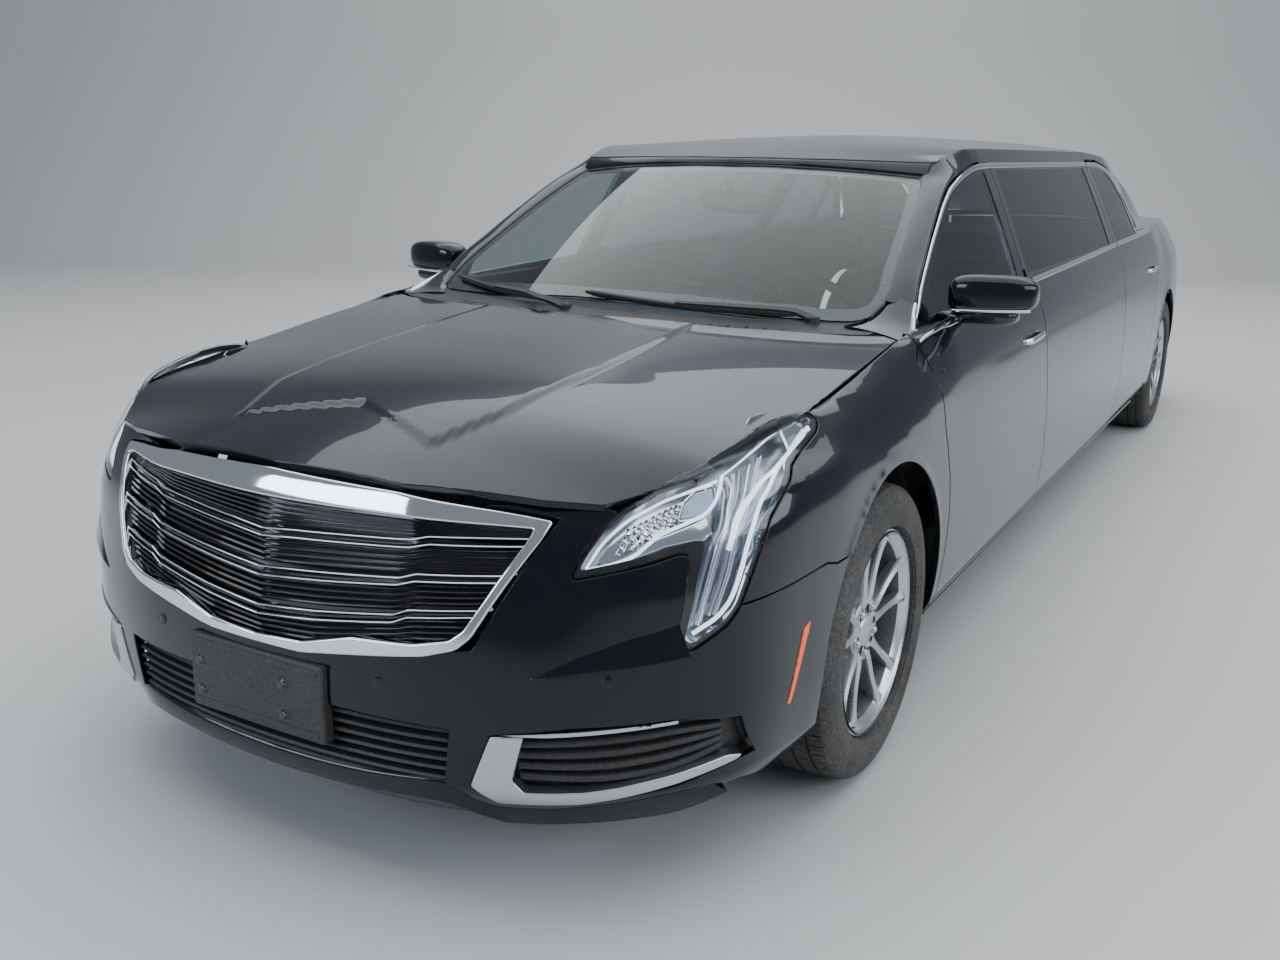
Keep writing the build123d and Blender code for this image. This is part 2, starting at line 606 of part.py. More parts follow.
# Front suspension: the axis that each front wheel steers about
KING_X = 705.0
KING_PIN_R = 14.0
RUN_FIT = 0.05
ARM_LOW, ARM_HIGH = 226.0, 486.0
AXLE_HALF = 50.0
SPINDLE_R = 30.0
SPINDLE_IN, SPINDLE_OUT = 700.0, 800.0
POST_IN, POST_OUT = 590.0, 636.0


def build_under():
    made = {}
    floor = [block(-FOOT_WELL_HALF, FOOT_WELL_HALF, WALL_BACK, 430, FLOOR_LOW, FLOOR_TOP),
             block(-FLOOR_HALF, FLOOR_HALF, 430, FLOOR_END, FLOOR_LOW, FLOOR_TOP)]
    sill_side = [(452, FLOOR_TOP), (3925, FLOOR_TOP), (3925, SILL_TOP), (452, SILL_TOP)]
    sill = side_wall(452, 3925, 226) & prism_x(sill_side, 400, 1100)
    made["underbody"] = pieces(*floor, sill, other(sill))
    made["bulkhead"] = pieces(
        block(-FOOT_WELL_HALF, FOOT_WELL_HALF, WALL_FRONT, WALL_BACK, FLOOR_LOW, WALL_STEP),
        block(-930, 930, WALL_FRONT, WALL_BACK, WALL_STEP, WALL_TOP),
        block(-700, 700, WALL_FRONT, WALL_BACK, WALL_TOP, COWL_LOW))
    rail = block(RAIL_IN, RAIL_OUT, RAIL_FRONT, WALL_FRONT, RAIL_LOW, RAIL_TOP)
    foot = block(RAIL_OUT, 446, -320, -290, 300, RAIL_TOP)
    tail_rail = block(TAIL_RAIL_IN, TAIL_RAIL_OUT, FLOOR_END, 5730, TAIL_RAIL_LOW, BOOT_LOW)
    tower = block(-RAIL_OUT, RAIL_OUT, -860, -830, RAIL_TOP, 640)
    made["frame_rails"] = pieces(rail + foot, other(rail + foot), tail_rail, other(tail_rail), tower)
    boot_wall = block(-CABIN_HALF, CABIN_HALF, FLOOR_END - BOOT_WALL, FLOOR_END, FLOOR_TOP, 1010)
    boot_floor = block(-BOOT_HALF, BOOT_HALF, FLOOR_END, BOOT_END, BOOT_LOW, BOOT_TOP)
    wing = block(BOOT_HALF, CABIN_HALF, 4130, 4420, BOOT_LOW, BOOT_TOP)
    end_wall = block(-CABIN_HALF, CABIN_HALF, BOOT_END, BOOT_END + PLATE, BOOT_LOW, 650)
    end_post = block(CABIN_HALF, 700, BOOT_END + PLATE - 36, BOOT_END + PLATE, BOOT_LOW, 900)
    side_rib = block(BOOT_HALF, 930, 4960, 4960 + PLATE, BOOT_LOW, 760)
    made["boot_floor"] = pieces(boot_wall, boot_floor, wing, other(wing), end_wall, end_post, other(end_post),
                                side_rib, other(side_rib))
    front = drum(446, 850, 0, WHEEL_Z, HOUSE_R) - drum(446 + HOUSE_WALL, 850, 0, WHEEL_Z, HOUSE_R - HOUSE_WALL)
    front = front - block(300, 1000, -500, 500, -200, 300) - block(440, 460, -190, 190, 200, 560)
    rear = drum(640, 860, WB, WHEEL_Z, HOUSE_R) - drum(640 + HOUSE_WALL, 860, WB, WHEEL_Z, HOUSE_R - HOUSE_WALL)
    rear = rear - block(300, 1000, WB - 500, WB + 500, -200, 300) - drum(600, 700, WB, WHEEL_Z, 60)
    made["wheelhouses"] = both(pieces(front, rear))
    mount = block(-RAIL_IN, RAIL_IN, -380, -320, 300, RAIL_TOP)
    made["engine_block"] = block(-290, 290, -640, -40, 300, 760) + mount
    pipe = bar((260, 420, 150), (260, 5300, 150), 30) + block(120, 400, 1300, 1900, 110, FLOOR_LOW)
    made["exhaust"] = pipe + block(120, 560, 5000, 5200, 120, 240)
    cross = block(-BOOT_HALF, BOOT_HALF, -45, 45, 196, 240) + block(RAIL_IN, RAIL_OUT, -45, 45, 230, RAIL_LOW)
    cross = cross + block(-RAIL_OUT, -RAIL_IN, -45, 45, 230, RAIL_LOW)
    low_arm = block(500, 735, -32, 32, ARM_LOW - 14, ARM_LOW + 14) + block(430, 520, -45, 45, 196, 240)
    eye_low = Pos(KING_X, 0, ARM_LOW) * Cylinder(32, 28)
    up_arm = block(470, 730, -26, 26, ARM_HIGH - 12, ARM_HIGH + 12) + block(470, 500, -26, 26, 200, ARM_HIGH + 12)
    eye_high = Pos(KING_X, 0, ARM_HIGH) * Cylinder(28, 24)
    arms = low_arm + eye_low + up_arm + eye_high - Pos(KING_X, 0, 350) * Cylinder(KING_PIN_R + RUN_FIT, 400)
    made["front_suspension"] = cross + arms + other(arms)
    post = block(POST_IN, POST_OUT, WB - AXLE_HALF, WB + AXLE_HALF, 230, 400)
    beam = block(-600, 600, WB - AXLE_HALF, WB + AXLE_HALF, 230, 292) + post + other(post)
    seat = block(TAIL_RAIL_IN, TAIL_RAIL_OUT, WB - AXLE_HALF, WB + AXLE_HALF, 280, TAIL_RAIL_LOW)
    spin = drum(600, SPINDLE_OUT, WB, WHEEL_Z, SPINDLE_R)
    made["rear_axle"] = beam + seat + other(seat) + spin + other(spin)
    return made


# Wheels
RIM_R, RIM_IN_R, FLANGE_R = 232.0, 214.0, 241.0
TYRE_GAP = 0.5
SPOKES = 10


def build_wheels():
    made = {}
    knuckle = block(678, 732, -34, 34, 250, 462) + Pos(KING_X, 0, 356) * Cylinder(KING_PIN_R, 290)
    knuckle = knuckle + drum(SPINDLE_IN, SPINDLE_OUT, 0, WHEEL_Z, SPINDLE_R)
    made["knuckle_left"] = knuckle
    made["knuckle_right"] = other(knuckle)
    barrel = drum(675, 893, 0, 0, RIM_R) - drum(660, 900, 0, 0, RIM_IN_R)
    flange = drum(667, 677, 0, 0, FLANGE_R) - drum(660, 900, 0, 0, RIM_IN_R)
    lip = drum(886, 896, 0, 0, FLANGE_R) - drum(880, 900, 0, 0, RIM_IN_R)
    hub = drum(770, 884, 0, 0, 74)
    rim = barrel + flange + lip + hub
    for i in range(SPOKES):
        rim = rim + Pos(872, 0, 0) * (Rot(360 * i / SPOKES, 0, 0) * (Pos(0, 0, 146) * Box(20, 34, 152)))
    rim = rim - drum(760, 803, 0, 0, SPINDLE_R + RUN_FIT)
    bead = FLANGE_R + TYRE_GAP
    pts = [(677.5, RIM_R), (677.5, bead), (668, bead + 1.5), (666, 290), (674, 330), (700, 345), (745, TYRE_R),
           (835, TYRE_R), (880, 345), (906, 330), (914, 290), (912, bead + 1.5), (885.5, bead), (885.5, RIM_R)]
    face = Plane(origin=(0, 0, 0), x_dir=(1, 0, 0), z_dir=(0, -1, 0)) * make_face(Polyline(*pts, close=True))
    tyre = revolve(face, axis=Axis.X)
    for name, y in (("front", 0), ("rear", WB)):
        left = Pos(0, y, WHEEL_Z) * rim
        made["rim_%s_left" % name] = left
        made["rim_%s_right" % name] = other(left)
        left = Pos(0, y, WHEEL_Z) * tyre
        made["tyre_%s_left" % name] = left
        made["tyre_%s_right" % name] = other(left)
    return made


# Steering column: where its wheel's hub lies, and its tilt from level
COLUMN = (372, 800, 905)
COLUMN_TILT = 24
COLUMN_PIN_R = 10.0


def build_cabin():
    made = {}
    dash = prism_x([(408, 600), (408, 925), (430, 985), (700, 950), (740, 890), (700, 640), (600, 600)], -700, 700)
    tilt = math.radians(COLUMN_TILT)
    axis = Vector(0, math.cos(tilt), math.sin(tilt))
    c = Vector(*COLUMN)
    start = c - axis * 160
    tube = bar(tuple(start), tuple(c - axis * 30), 24)
    pin = bar(tuple(start), tuple(c + axis * 4), COLUMN_PIN_R)
    made["dashboard"] = dash + tube + pin
    plane = Plane(origin=tuple(c), z_dir=tuple(axis))
    wheel = plane * Torus(180, 15)
    hub = plane * Cylinder(52, 44)
    arm = plane * Box(350, 30, 18)
    made["steering_wheel"] = wheel + hub + arm - plane * Cylinder(COLUMN_PIN_R + RUN_FIT, 200)
    back = prism_x([(1430, 330), (1560, 330), (1680, 960), (1590, 980)], 150, 630)
    seat = block(130, 650, 980, 1480, 300, 450) + back
    head = block(280, 500, 1630, 1720, 960, 1120)
    plinth = block(200, 580, 1020, 1440, 212, 310)
    made["front_seats"] = both(seat + head + plinth)
    bench = block(-640, 640, 3330, 3900, 212, 450)
    bench = bench + prism_x([(3800, 430), (3900, 430), (4010, 930), (3930, 950)], -640, 640)
    made["rear_bench"] = bench
    side = block(-660, -300, 1850, 3000, 212, 440) + block(-750, -640, 1850, 3000, 430, 900)
    made["side_bench"] = side
    shelf = block(-600, 600, 4020, 4880, 1010, 1030)
    post = block(546, 582, 4860, 4926, 1010, 1066) - lid_arm(57.7, 70.3, 555.7, 572.3, -200, 0)
    made["rear_shelf"] = shelf + post + other(post)
    return made


def build_rear_window():
    return pane(672, (4918, 4880, 1106, 1096), (4276, 4345, 1402, 1318), 12)


def build_all():
    made = build_under()
    made.update(build_wheels())
    made.update(build_cabin())
    made.update(build_doors())
    made.update(build_body())
    made.update(build_top())
    glass = build_rear_window()
    for name in ("quarter_panels", "roof", "trunk_lid"):
        for solid in pieces(made[name]).solids():
            glass = glass - solid
    made["rear_window"] = largest(glass)
    skins = ("front_bumper", "rear_bumper", "lower_grilles", "front_fenders", "quarter_panels", "tail_lamps")
    for name in ("underbody", "bulkhead", "frame_rails", "boot_floor"):
        kept = []
        for part in pieces(made[name]).solids():
            for skin in skins:
                for solid in pieces(made[skin]).solids():
                    part = part - solid
            kept.append(largest(part))
        made[name] = pieces(*kept)
    return made


if __name__ == "__main__":
    import time
    t0 = time.time()
    made = build_all()
    for name in sorted(made):
        shape = pieces(made[name]).moved(Location((0, -YC, 0)))
        export_step(shape, "parts/%s.step" % name)
        bb = shape.bounding_box()
        good = all(s.is_valid for s in shape.solids())
        print("%-26s" % name, len(shape.solids()), good, round(shape.volume / 1e6, 1),
              [round(q) for q in (bb.min.X, bb.max.X, bb.min.Y, bb.max.Y, bb.min.Z, bb.max.Z)])
    print(round(time.time() - t0, 1))
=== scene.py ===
"""Black stretched limousine sedan, dressed around its CAD frame.

Sizes in this file are in millimetres as in the part's source, from the front axle and the ground,
and every mesh is turned into metres in the shared frame when it is made.
"""
import math

import bpy
import bmesh
import numpy as np
from mathutils import Matrix, Vector
from mathutils.geometry import delaunay_2d_cdt


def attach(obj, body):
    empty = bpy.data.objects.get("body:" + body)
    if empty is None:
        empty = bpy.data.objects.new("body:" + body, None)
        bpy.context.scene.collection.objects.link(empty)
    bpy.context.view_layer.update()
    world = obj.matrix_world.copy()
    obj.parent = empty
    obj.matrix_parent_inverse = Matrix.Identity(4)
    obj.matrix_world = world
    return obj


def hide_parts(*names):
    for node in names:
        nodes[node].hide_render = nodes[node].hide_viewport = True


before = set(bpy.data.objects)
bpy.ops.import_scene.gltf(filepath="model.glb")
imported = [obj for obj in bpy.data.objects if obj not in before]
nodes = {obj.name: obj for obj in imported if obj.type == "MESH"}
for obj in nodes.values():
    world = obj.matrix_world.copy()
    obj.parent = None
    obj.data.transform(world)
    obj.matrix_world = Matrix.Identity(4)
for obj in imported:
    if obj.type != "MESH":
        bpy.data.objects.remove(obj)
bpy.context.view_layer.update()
MIDDLE = 2360.0
WHEELBASE = 4490.0
WHEEL_Z = 348.0
WHEEL_MIDDLE = 790.0
HUB = (0, 0, WHEEL_Z)
ARCH_WIDE, ARCH_HIGH = 382.0, 402.0
TINY = 1e-9


# Camera at the photograph's angle: yaw, pitch and roll in degrees, its place in metres, and its focal
# length in pixels of the photograph
CAMERA_TURN = (30.1, 14.44, -0.77)
CAMERA_PLACE = (1.721, -4.927, 1.414)
SENSOR = 36.0
FOCAL_PIXELS, PHOTO_PIXELS = 1219.1, 1280.0
LENS_SHIFT = (0.0074, -0.0108)


def place_camera():
    yaw, pitch, roll = (math.radians(turn) for turn in CAMERA_TURN)
    ahead = Vector((-math.sin(yaw) * math.cos(pitch), math.cos(yaw) * math.cos(pitch), -math.sin(pitch)))
    right = Vector((math.cos(yaw), math.sin(yaw), 0))
    down = ahead.cross(right)
    turned_right = right * math.cos(roll) + down * math.sin(roll)
    turned_down = -right * math.sin(roll) + down * math.cos(roll)
    camera = bpy.data.objects.new("camera", bpy.data.cameras.new("camera"))
    bpy.context.scene.collection.objects.link(camera)
    basis = Matrix((turned_right, -turned_down, -ahead)).transposed().to_4x4()
    camera.matrix_world = Matrix.Translation(Vector(CAMERA_PLACE)) @ basis
    camera.data.sensor_width = SENSOR
    camera.data.lens = SENSOR * FOCAL_PIXELS / PHOTO_PIXELS
    camera.data.shift_x, camera.data.shift_y = LENS_SHIFT
    camera.data.clip_end = 200.0
    bpy.context.scene.camera = camera


# Floor, backdrop and lights
def plain_material(name, colour, roughness):
    made = bpy.data.materials.new(name)
    made.use_nodes = True
    shader = made.node_tree.nodes["Principled BSDF"]
    shader.inputs["Base Color"].default_value = (*colour, 1)
    shader.inputs["Roughness"].default_value = roughness
    return made


def soft_light(name, place, aim, size, power, colour=(1, 1, 1)):
    light = bpy.data.lights.new(name, "AREA")
    light.shape = "RECTANGLE"
    light.size, light.size_y = size
    light.energy = power
    light.color = colour
    lamp = bpy.data.objects.new(name, light)
    bpy.context.scene.collection.objects.link(lamp)
    lamp.location = place
    lamp.rotation_mode = "QUATERNION"
    lamp.rotation_quaternion = (Vector(aim) - Vector(place)).to_track_quat("-Z", "Y")


def build_studio():
    """A paper floor that curves up behind the car, a pale sky and three window-like lights."""
    mesh = bpy.data.meshes.new("floor")
    half, back, high, curve, steps = 14.0, 13.0, 9.0, 3.0, 12
    rows = [(-half, 0.0)]
    for i in range(steps + 1):
        a = math.radians(90 * i / steps)
        rows.append((back - curve + curve * math.sin(a), curve - curve * math.cos(a)))
    rows.append((back, high))
    points = [(x, y, z) for y, z in rows for x in (-half, half)]
    faces = [(2 * i, 2 * i + 1, 2 * i + 3, 2 * i + 2) for i in range(len(rows) - 1)]
    mesh.from_pydata(points, [], faces)
    mesh.polygons.foreach_set("use_smooth", [True] * len(mesh.polygons))
    floor = bpy.data.objects.new("floor", mesh)
    bpy.context.scene.collection.objects.link(floor)
    floor.matrix_world = Matrix.Rotation(math.radians(30), 4, "Z")
    mesh.materials.append(plain_material("floor_paper", (0.62, 0.62, 0.61), 0.7))
    world = bpy.context.scene.world or bpy.data.worlds.new("world")
    bpy.context.scene.world = world
    world.use_nodes = True
    sky = world.node_tree.nodes["Background"]
    sky.inputs["Color"].default_value = (0.75, 0.82, 0.92, 1)
    sky.inputs["Strength"].default_value = 0.3
    soft_light("overhead", (0, 1.5, 8.2), (0, 1.5, 0), (16.0, 18.0), 1500, (0.95, 0.97, 1))
    soft_light("front_window", (-3.2, -8.6, 3.4), (0, -2.5, 0.6), (4.5, 2.2), 200, (0.75, 0.87, 1))
    soft_light("side_window", (7.2, -1.5, 3.2), (0.5, 0, 0.7), (9.0, 2.2), 260, (0.85, 0.93, 1))


# Smooth tables
def unit(vectors):
    """Vectors along the last axis, brought to length one."""
    vectors = np.asarray(vectors, float)
    return vectors / np.maximum(np.linalg.norm(vectors, axis=-1, keepdims=True), TINY)


def ease(a, b, da, db, t):
    """Cubic from a to b that leaves along da and arrives along db."""
    return (a * (2 * t**3 - 3 * t**2 + 1) + da * (t**3 - 2 * t**2 + t)
            + b * (-2 * t**3 + 3 * t**2) + db * (t**3 - t**2))


class Track:
    """A smooth curve through the rows of a table: the first column runs, the others follow."""

    def __init__(self, rows):
        data = np.array(rows, float)
        self.run, self.rest = data[:, 0], data[:, 1:]
        gap = np.diff(self.run)[:, None]
        slope = np.diff(self.rest, axis=0) / gap
        bend = np.zeros_like(self.rest)
        bend[0], bend[-1] = slope[0], slope[-1]
        if len(self.run) > 2:
            before, after = slope[:-1], slope[1:]
            w1, w2 = 2 * gap[1:] + gap[:-1], gap[1:] + 2 * gap[:-1]
            same = before * after > 0
            safe_b, safe_a = np.where(same, before, 1.0), np.where(same, after, 1.0)
            bend[1:-1] = np.where(same, (w1 + w2) / (w1 / safe_b + w2 / safe_a), 0.0)
        self.bend = bend

    def __call__(self, value):
        value = np.clip(np.asarray(value, float), self.run[0], self.run[-1])
        i = np.clip(np.searchsorted(self.run, value, side="right") - 1, 0, len(self.run) - 2)
        gap = self.run[i + 1] - self.run[i]
        t = ((value - self.run[i]) / gap)[..., None]
        gap = gap[..., None]
        return ease(self.rest[i], self.rest[i + 1], self.bend[i] * gap, self.bend[i + 1] * gap, t)


# The same tables of the body as in the part's source
SIDE = Track([
    (-700, 858, 210, 75, 300, 12, 480, 715, 15, 835, 88),
    (-450, 912, 210, 78, 305, 14, 520, 760, 14, 884, 100),
    (-100, 926, 200, 80, 300, 20, 560, 790, 12, 922, 116),
    (200, 926, 200, 80, 300, 20, 560, 830, 12, 972, 120),
    (345, 926, 200, 80, 300, 20, 560, 845, 14, 990, 110),
    (560, 925, 200, 80, 300, 20, 560, 850, 16, 1000, 78),
    (1500, 923, 200, 80, 300, 20, 560, 860, 16, 1030, 76),
    (3100, 923, 200, 80, 300, 20, 560, 870, 16, 1060, 76),
    (4000, 925, 200, 80, 300, 20, 560, 885, 18, 1078, 80),
    (4490, 926, 200, 80, 300, 20, 560, 900, 32, 1088, 116),
    (5000, 900, 205, 80, 300, 20, 560, 900, 30, 1092, 136),
    (5300, 864, 210, 80, 300, 20, 560, 900, 26, 1080, 136),
    (5500, 805, 220, 80, 300, 20, 560, 900, 22, 1060, 120),
])
NOSE = [(0, -1035, -90), (300, -1012, -81), (570, -930, -66), (760, -800, -46),
        (868, -655, -24), (912, -450, -7), (926, -100, 0)]
NOSE_Z = Track([
    (190, 78, 75, 73, 76, 80, 84, 86),
    (285, 8, 8, 8, 10, 13, 16, 22),
    (430, 0, 0, 0, 0, 1, 3, 8),
    (640, 18, 22, 28, 12, 6, 4, 1),
    (740, 42, 50, 62, 40, 18, 10, 6),
    (800, 62, 70, 105, 76, 50, 28, 14),
    (850, 100, 100, 140, 110, 92, 80, 60),
    (905, 140, 140, 170, 150, 130, 120, 118),
])
TAIL = [(0, 5755, 90), (350, 5735, 82), (620, 5670, 70), (760, 5570, 50),
        (832, 5420, 26), (876, 5200, 10), (905, 4900, 4)]
TAIL_Z = Track([(z,) + (i,) * 7 for z, i in
                ((200, 80), (290, 10), (450, 0), (640, 22), (700, 40), (900, 52), (1056, 80))])
HOOD = Track([(-990, 600, 762, 822), (-800, 680, 800, 878), (-600, 785, 862, 922),
              (-260, 814, 905, 962), (90, 806, 955, 998), (345, 802, 985, 1020)])
ROOF = Track([(1010, 560, 1380, 1404), (1110, 606, 1392, 1420), (1271, 632, 1428, 1444),
              (1377, 640, 1438, 1457), (1600, 640, 1440, 1474), (2200, 640, 1440, 1490),
              (3200, 640, 1440, 1490), (3450, 636, 1434, 1483), (3800, 624, 1412, 1470),
              (4260, 556, 1366, 1428)])
DECK = Track([(4930, 640, 1082, 1116), (5250, 650, 1072, 1106), (5560, 640, 1050, 1086),
              (5700, 600, 1030, 1068)])
ROOF_EDGE = 1440.0
ROOF_EDGE_X = 640.0
SHOULDER_SWELL = 36
SKIN_END = 6.0
# y between which the nose, and the tail, turns into the body side
NOSE_BLEND, TAIL_BLEND = (-330, -110), (5050, 5560)
SIDE_END = 5460
LIP_HIGH, LIP_WIDE = 4.0, 14.0
SCREEN_RUN, REAR_SCREEN_RUN = 900, 700


def soft_max(a, b, blend):
    return (a + b + np.sqrt((a - b) ** 2 + blend**2)) / 2


def smooth_step(low, high, value):
    t = np.clip((value - low) / (high - low), 0, 1)
    return t * t * (3 - 2 * t)


def side_inset(y, z):
    """How far the body side lies inside its widest width."""
    zb, ib, zl, il, zm, zh, ih, zt, it = (SIDE(y)[..., k] for k in range(1, 10))
    t = (z - zm) / np.where(z < zm, zl - zm, zh - zm)
    middle = np.where(z < zm, il, ih) * t**2
    rise = (z - zh) / (zt - zh)
    upper = ih + (it - ih) * rise - SHOULDER_SWELL * np.maximum(rise, 0) * (1 - rise)
    lower = il + (ib - il) * (zl - z) / (zl - zb)
    middle = soft_max(middle, upper, 4.0)
    return soft_max(middle, lower, 5.0)


def plan_point(plan, insets, s):
    """Smooth horizontal section through the plan's points, by its place s along them."""
    k = np.clip(np.floor(s).astype(int), 0, len(plan) - 2)
    table = np.array(plan, float)
    turn = np.radians(table[:, 2])
    normal = np.stack([np.cos(turn), np.sin(turn)], axis=1)
    rows = np.arange(len(k))
    a = table[k, :2] - insets[rows, k][:, None] * normal[k]
    b = table[k + 1, :2] - insets[rows, k + 1][:, None] * normal[k + 1]
    reach = np.linalg.norm(b - a, axis=1)[:, None]
    sign = 1.0 if plan[0][2] < 0 else -1.0
    along = np.stack([-normal[:, 1], normal[:, 0]], axis=1) * sign
    return ease(a, b, along[k] * reach, along[k + 1] * reach, (s - k)[:, None])


def nose_skin(s, z):
    """Skin of the nose: s from 0 at the middle to 6 at the front axle."""
    s, z = np.asarray(s, float), np.asarray(z, float)
    p = plan_point(NOSE, NOSE_Z(z), s)
    mix = smooth_step(*NOSE_BLEND, p[:, 1])
    flat = SIDE(p[:, 1])[:, 0] - side_inset(p[:, 1], z)
    x = p[:, 0] * (1 - mix) + flat * mix
    return np.stack([x, p[:, 1], z], axis=1)


def tail_skin(s, z):
    s, z = np.asarray(s, float), np.asarray(z, float)
    p = plan_point(TAIL, TAIL_Z(z), s)
    return np.stack([p[:, 0], p[:, 1], z], axis=1)


def solve_s(skin, measure, wanted, z):
    """Place along a skin where measure(x, y) takes a value."""
    wanted, z = np.asarray(wanted, float), np.asarray(z, float)
    a, b = np.zeros(len(wanted)), np.full(len(wanted), SKIN_END)
    for _ in range(30):
        m = (a + b) / 2
        p = skin(m, z)
        small = measure(p[:, 0], p[:, 1]) < wanted
        a, b = np.where(small, m, a), np.where(small, b, m)
    return (a + b) / 2


def side_skin(y, t):
    """Body side: t is the height up to the top edge, and runs inward beyond it."""
    y, t = np.asarray(y, float), np.asarray(t, float)
    r = SIDE(y)
    over = np.maximum(t - r[:, 8], 0)
    z = np.minimum(t, r[:, 8])
    x = r[:, 0] - side_inset(y, z) - over
    front = (y < NOSE_BLEND[1]) & (over <= 0)
    if front.any():
        s = solve_s(nose_skin, lambda px, py: py, y[front], z[front])
        x[front] = nose_skin(s, z[front])[:, 0]
    lip = 0.0
    for centre in (0.0, WHEELBASE):
        far = np.hypot((y - centre) * ARCH_HIGH / ARCH_WIDE, z - WHEEL_Z) - ARCH_HIGH
        lip = lip + LIP_HIGH * np.exp(-(np.clip(far, 0, 200) / LIP_WIDE) ** 2)
    return np.stack([x + lip, y, z + over * 0.06], axis=1)


def lean_in(y):
    """How far the greenhouse closes in towards its front and rear ends."""
    return 50 * (1 - smooth_step(500, 1500, y)) + 100 * smooth_step(3600, 4500, y)


def house_skin(y, z):
    """Side of the greenhouse, leaning in from the belt to the roof."""
    y, z = np.asarray(y, float), np.asarray(z, float)
    r = SIDE(y)
    x0, z0 = r[:, 0] - r[:, 9] - 4, r[:, 8] - 14
    t = (z - z0) / (ROOF_EDGE - z0)
    x = x0 + (ROOF_EDGE_X - x0) * t + 20 * t * (1 - t) - lean_in(y)
    return np.stack([x, y, z], axis=1)


def crown_skin(table):
    """Skin of the hood, roof or deck: edge width, edge height and middle height by y."""
    def skin(x, y):
        x, y = np.asarray(x, float), np.asarray(y, float)
        r = table(y)
        q = np.clip(np.abs(x) / r[:, 0], 0, 1.1)
        return np.stack([x, y, r[:, 1] + (r[:, 2] - r[:, 1]) * (1 - q**2)], axis=1)
    return skin


# Outlines
FRONT_DOOR_LOW = [(448, 290), (440, 540), (420, 640), (372, 760), (352, 850), (352, 1010), (1500, 1060),
                  (1506, 960), (1600, 290)]
REAR_DOOR_LOW = [(3080, 290), (3080, 1100), (4060, 1110), (4050, 900), (4020, 760), (3960, 640),
                 (3935, 500), (3930, 290)]
FRONT_FRAME = [(478, 990), (540, 1034), (600, 1078), (786, 1183), (973, 1281), (1077, 1326), (1194, 1357),
               (1300, 1378), (1400, 1390), (1552, 1394), (1470, 1060), (1466, 990)]
FRONT_GLASS = [(640, 1010), (652, 1072), (812, 1166), (990, 1260), (1090, 1304), (1204, 1336), (1310, 1356),
               (1400, 1366), (1460, 1369), (1395, 1040), (1395, 1010)]
REAR_FRAME = [(3086, 1040), (3172, 1396), (3430, 1396), (3640, 1366), (3800, 1290), (3900, 1205),
              (4026, 1090), (4026, 1060)]
REAR_GLASS = [(3150, 1050), (3226, 1372), (3380, 1372), (3545, 1350), (3640, 1302), (3686, 1240),
              (3700, 1080), (3700, 1060)]
CENTRE_GLASS = [(1530, 1050), (1606, 1374), (3076, 1374), (2998, 1075), (2998, 1060)]
QUARTER_GLASS = [(3745, 1090), (3728, 1262), (3790, 1250), (3870, 1184), (3960, 1106), (3960, 1090)]
C_PILLAR = [(3186, 1440), (3186, 1409), (3430, 1409), (3648, 1378), (3810, 1302), (3912, 1212), (4066, 1110),
            (4066, 1080), (5010, 1100), (4700, 1220), (4350, 1345), (4260, 1366), (3800, 1413), (3450, 1435)]
HOOD_EDGE = [(0, -953), (295, -928), (545, -846), (640, -800), (750, -668), (792, -500), (806, -260),
             (804, 90), (799, 300), (762, 316), (690, 268), (400, 168), (0, 120)]
TRUNK_EDGE = [(0, 4940), (640, 4908), (664, 5250), (650, 5540), (600, 5590), (350, 5652), (0, 5674)]
FOG_OUT = [(503, 392), (462, 286), (502, 249), (671, 262), (780, 282), (872, 316), (862, 402), (787, 420),
           (640, 414)]
INTAKE = [(0, 404), (430, 396), (410, 262), (0, 252)]


def grow(points, by):
    """Outline moved outward by a distance, corners kept sharp."""
    n = len(points)
    area = sum(p[0] * q[1] - q[0] * p[1] for p, q in zip(points, [*points[1:], points[0]]))
    sign = 1.0 if area > 0 else -1.0
    moved = []
    for i in range(n):
        p, q, r = points[i - 1], points[i], points[(i + 1) % n]
        la, lb = math.hypot(q[0] - p[0], q[1] - p[1]), math.hypot(r[0] - q[0], r[1] - q[1])
        na = (sign * (q[1] - p[1]) / la, -sign * (q[0] - p[0]) / la)
        nb = (sign * (r[1] - q[1]) / lb, -sign * (r[0] - q[0]) / lb)
        k = max(1 + na[0] * nb[0] + na[1] * nb[1], 0.3)
        moved.append((q[0] + by * (na[0] + nb[0]) / k, q[1] + by * (na[1] + nb[1]) / k))
    return moved


def mirrored(half):
    """Whole outline from its right-hand half, which starts and ends on the middle line."""
    return list(half) + [(-x, z) for x, z in reversed(half[1:-1])]


def whole_line(half):
    """Open line from the right-hand end to the left-hand end, from its left half."""
    return [(-u, z) for u, z in reversed(half[1:])] + list(half)


def divide(points, step, closed=True):
    """Outline with points no further apart than a step."""
    out = []
    for i in range(len(points) if closed else len(points) - 1):
        p, q = points[i], points[(i + 1) % len(points)]
        n = max(1, int(math.ceil(math.dist(p, q) / step)))
        out += [tuple(a + (b - a) * k / n for a, b in zip(p, q)) for k in range(n)]
    return out if closed else out + [tuple(points[-1])]


def rounded(points, radius, closed=True):
    """Outline with its corners turned into small arcs."""
    out = []
    n = len(points)
    for i in range(n):
        p, q, r = (Vector(points[(i + k) % n]) for k in (-1, 0, 1))
        if not closed and i in (0, n - 1):
            out.append(tuple(q))
            continue
        reach = min(radius, (p - q).length * 0.45, (r - q).length * 0.45)
        a, b = q + (p - q).normalized() * reach, q + (r - q).normalized() * reach
        for t in (0, 0.25, 0.5, 0.75, 1):
            out.append(tuple(a * (1 - t) ** 2 + q * 2 * t * (1 - t) + b * t**2))
    return out


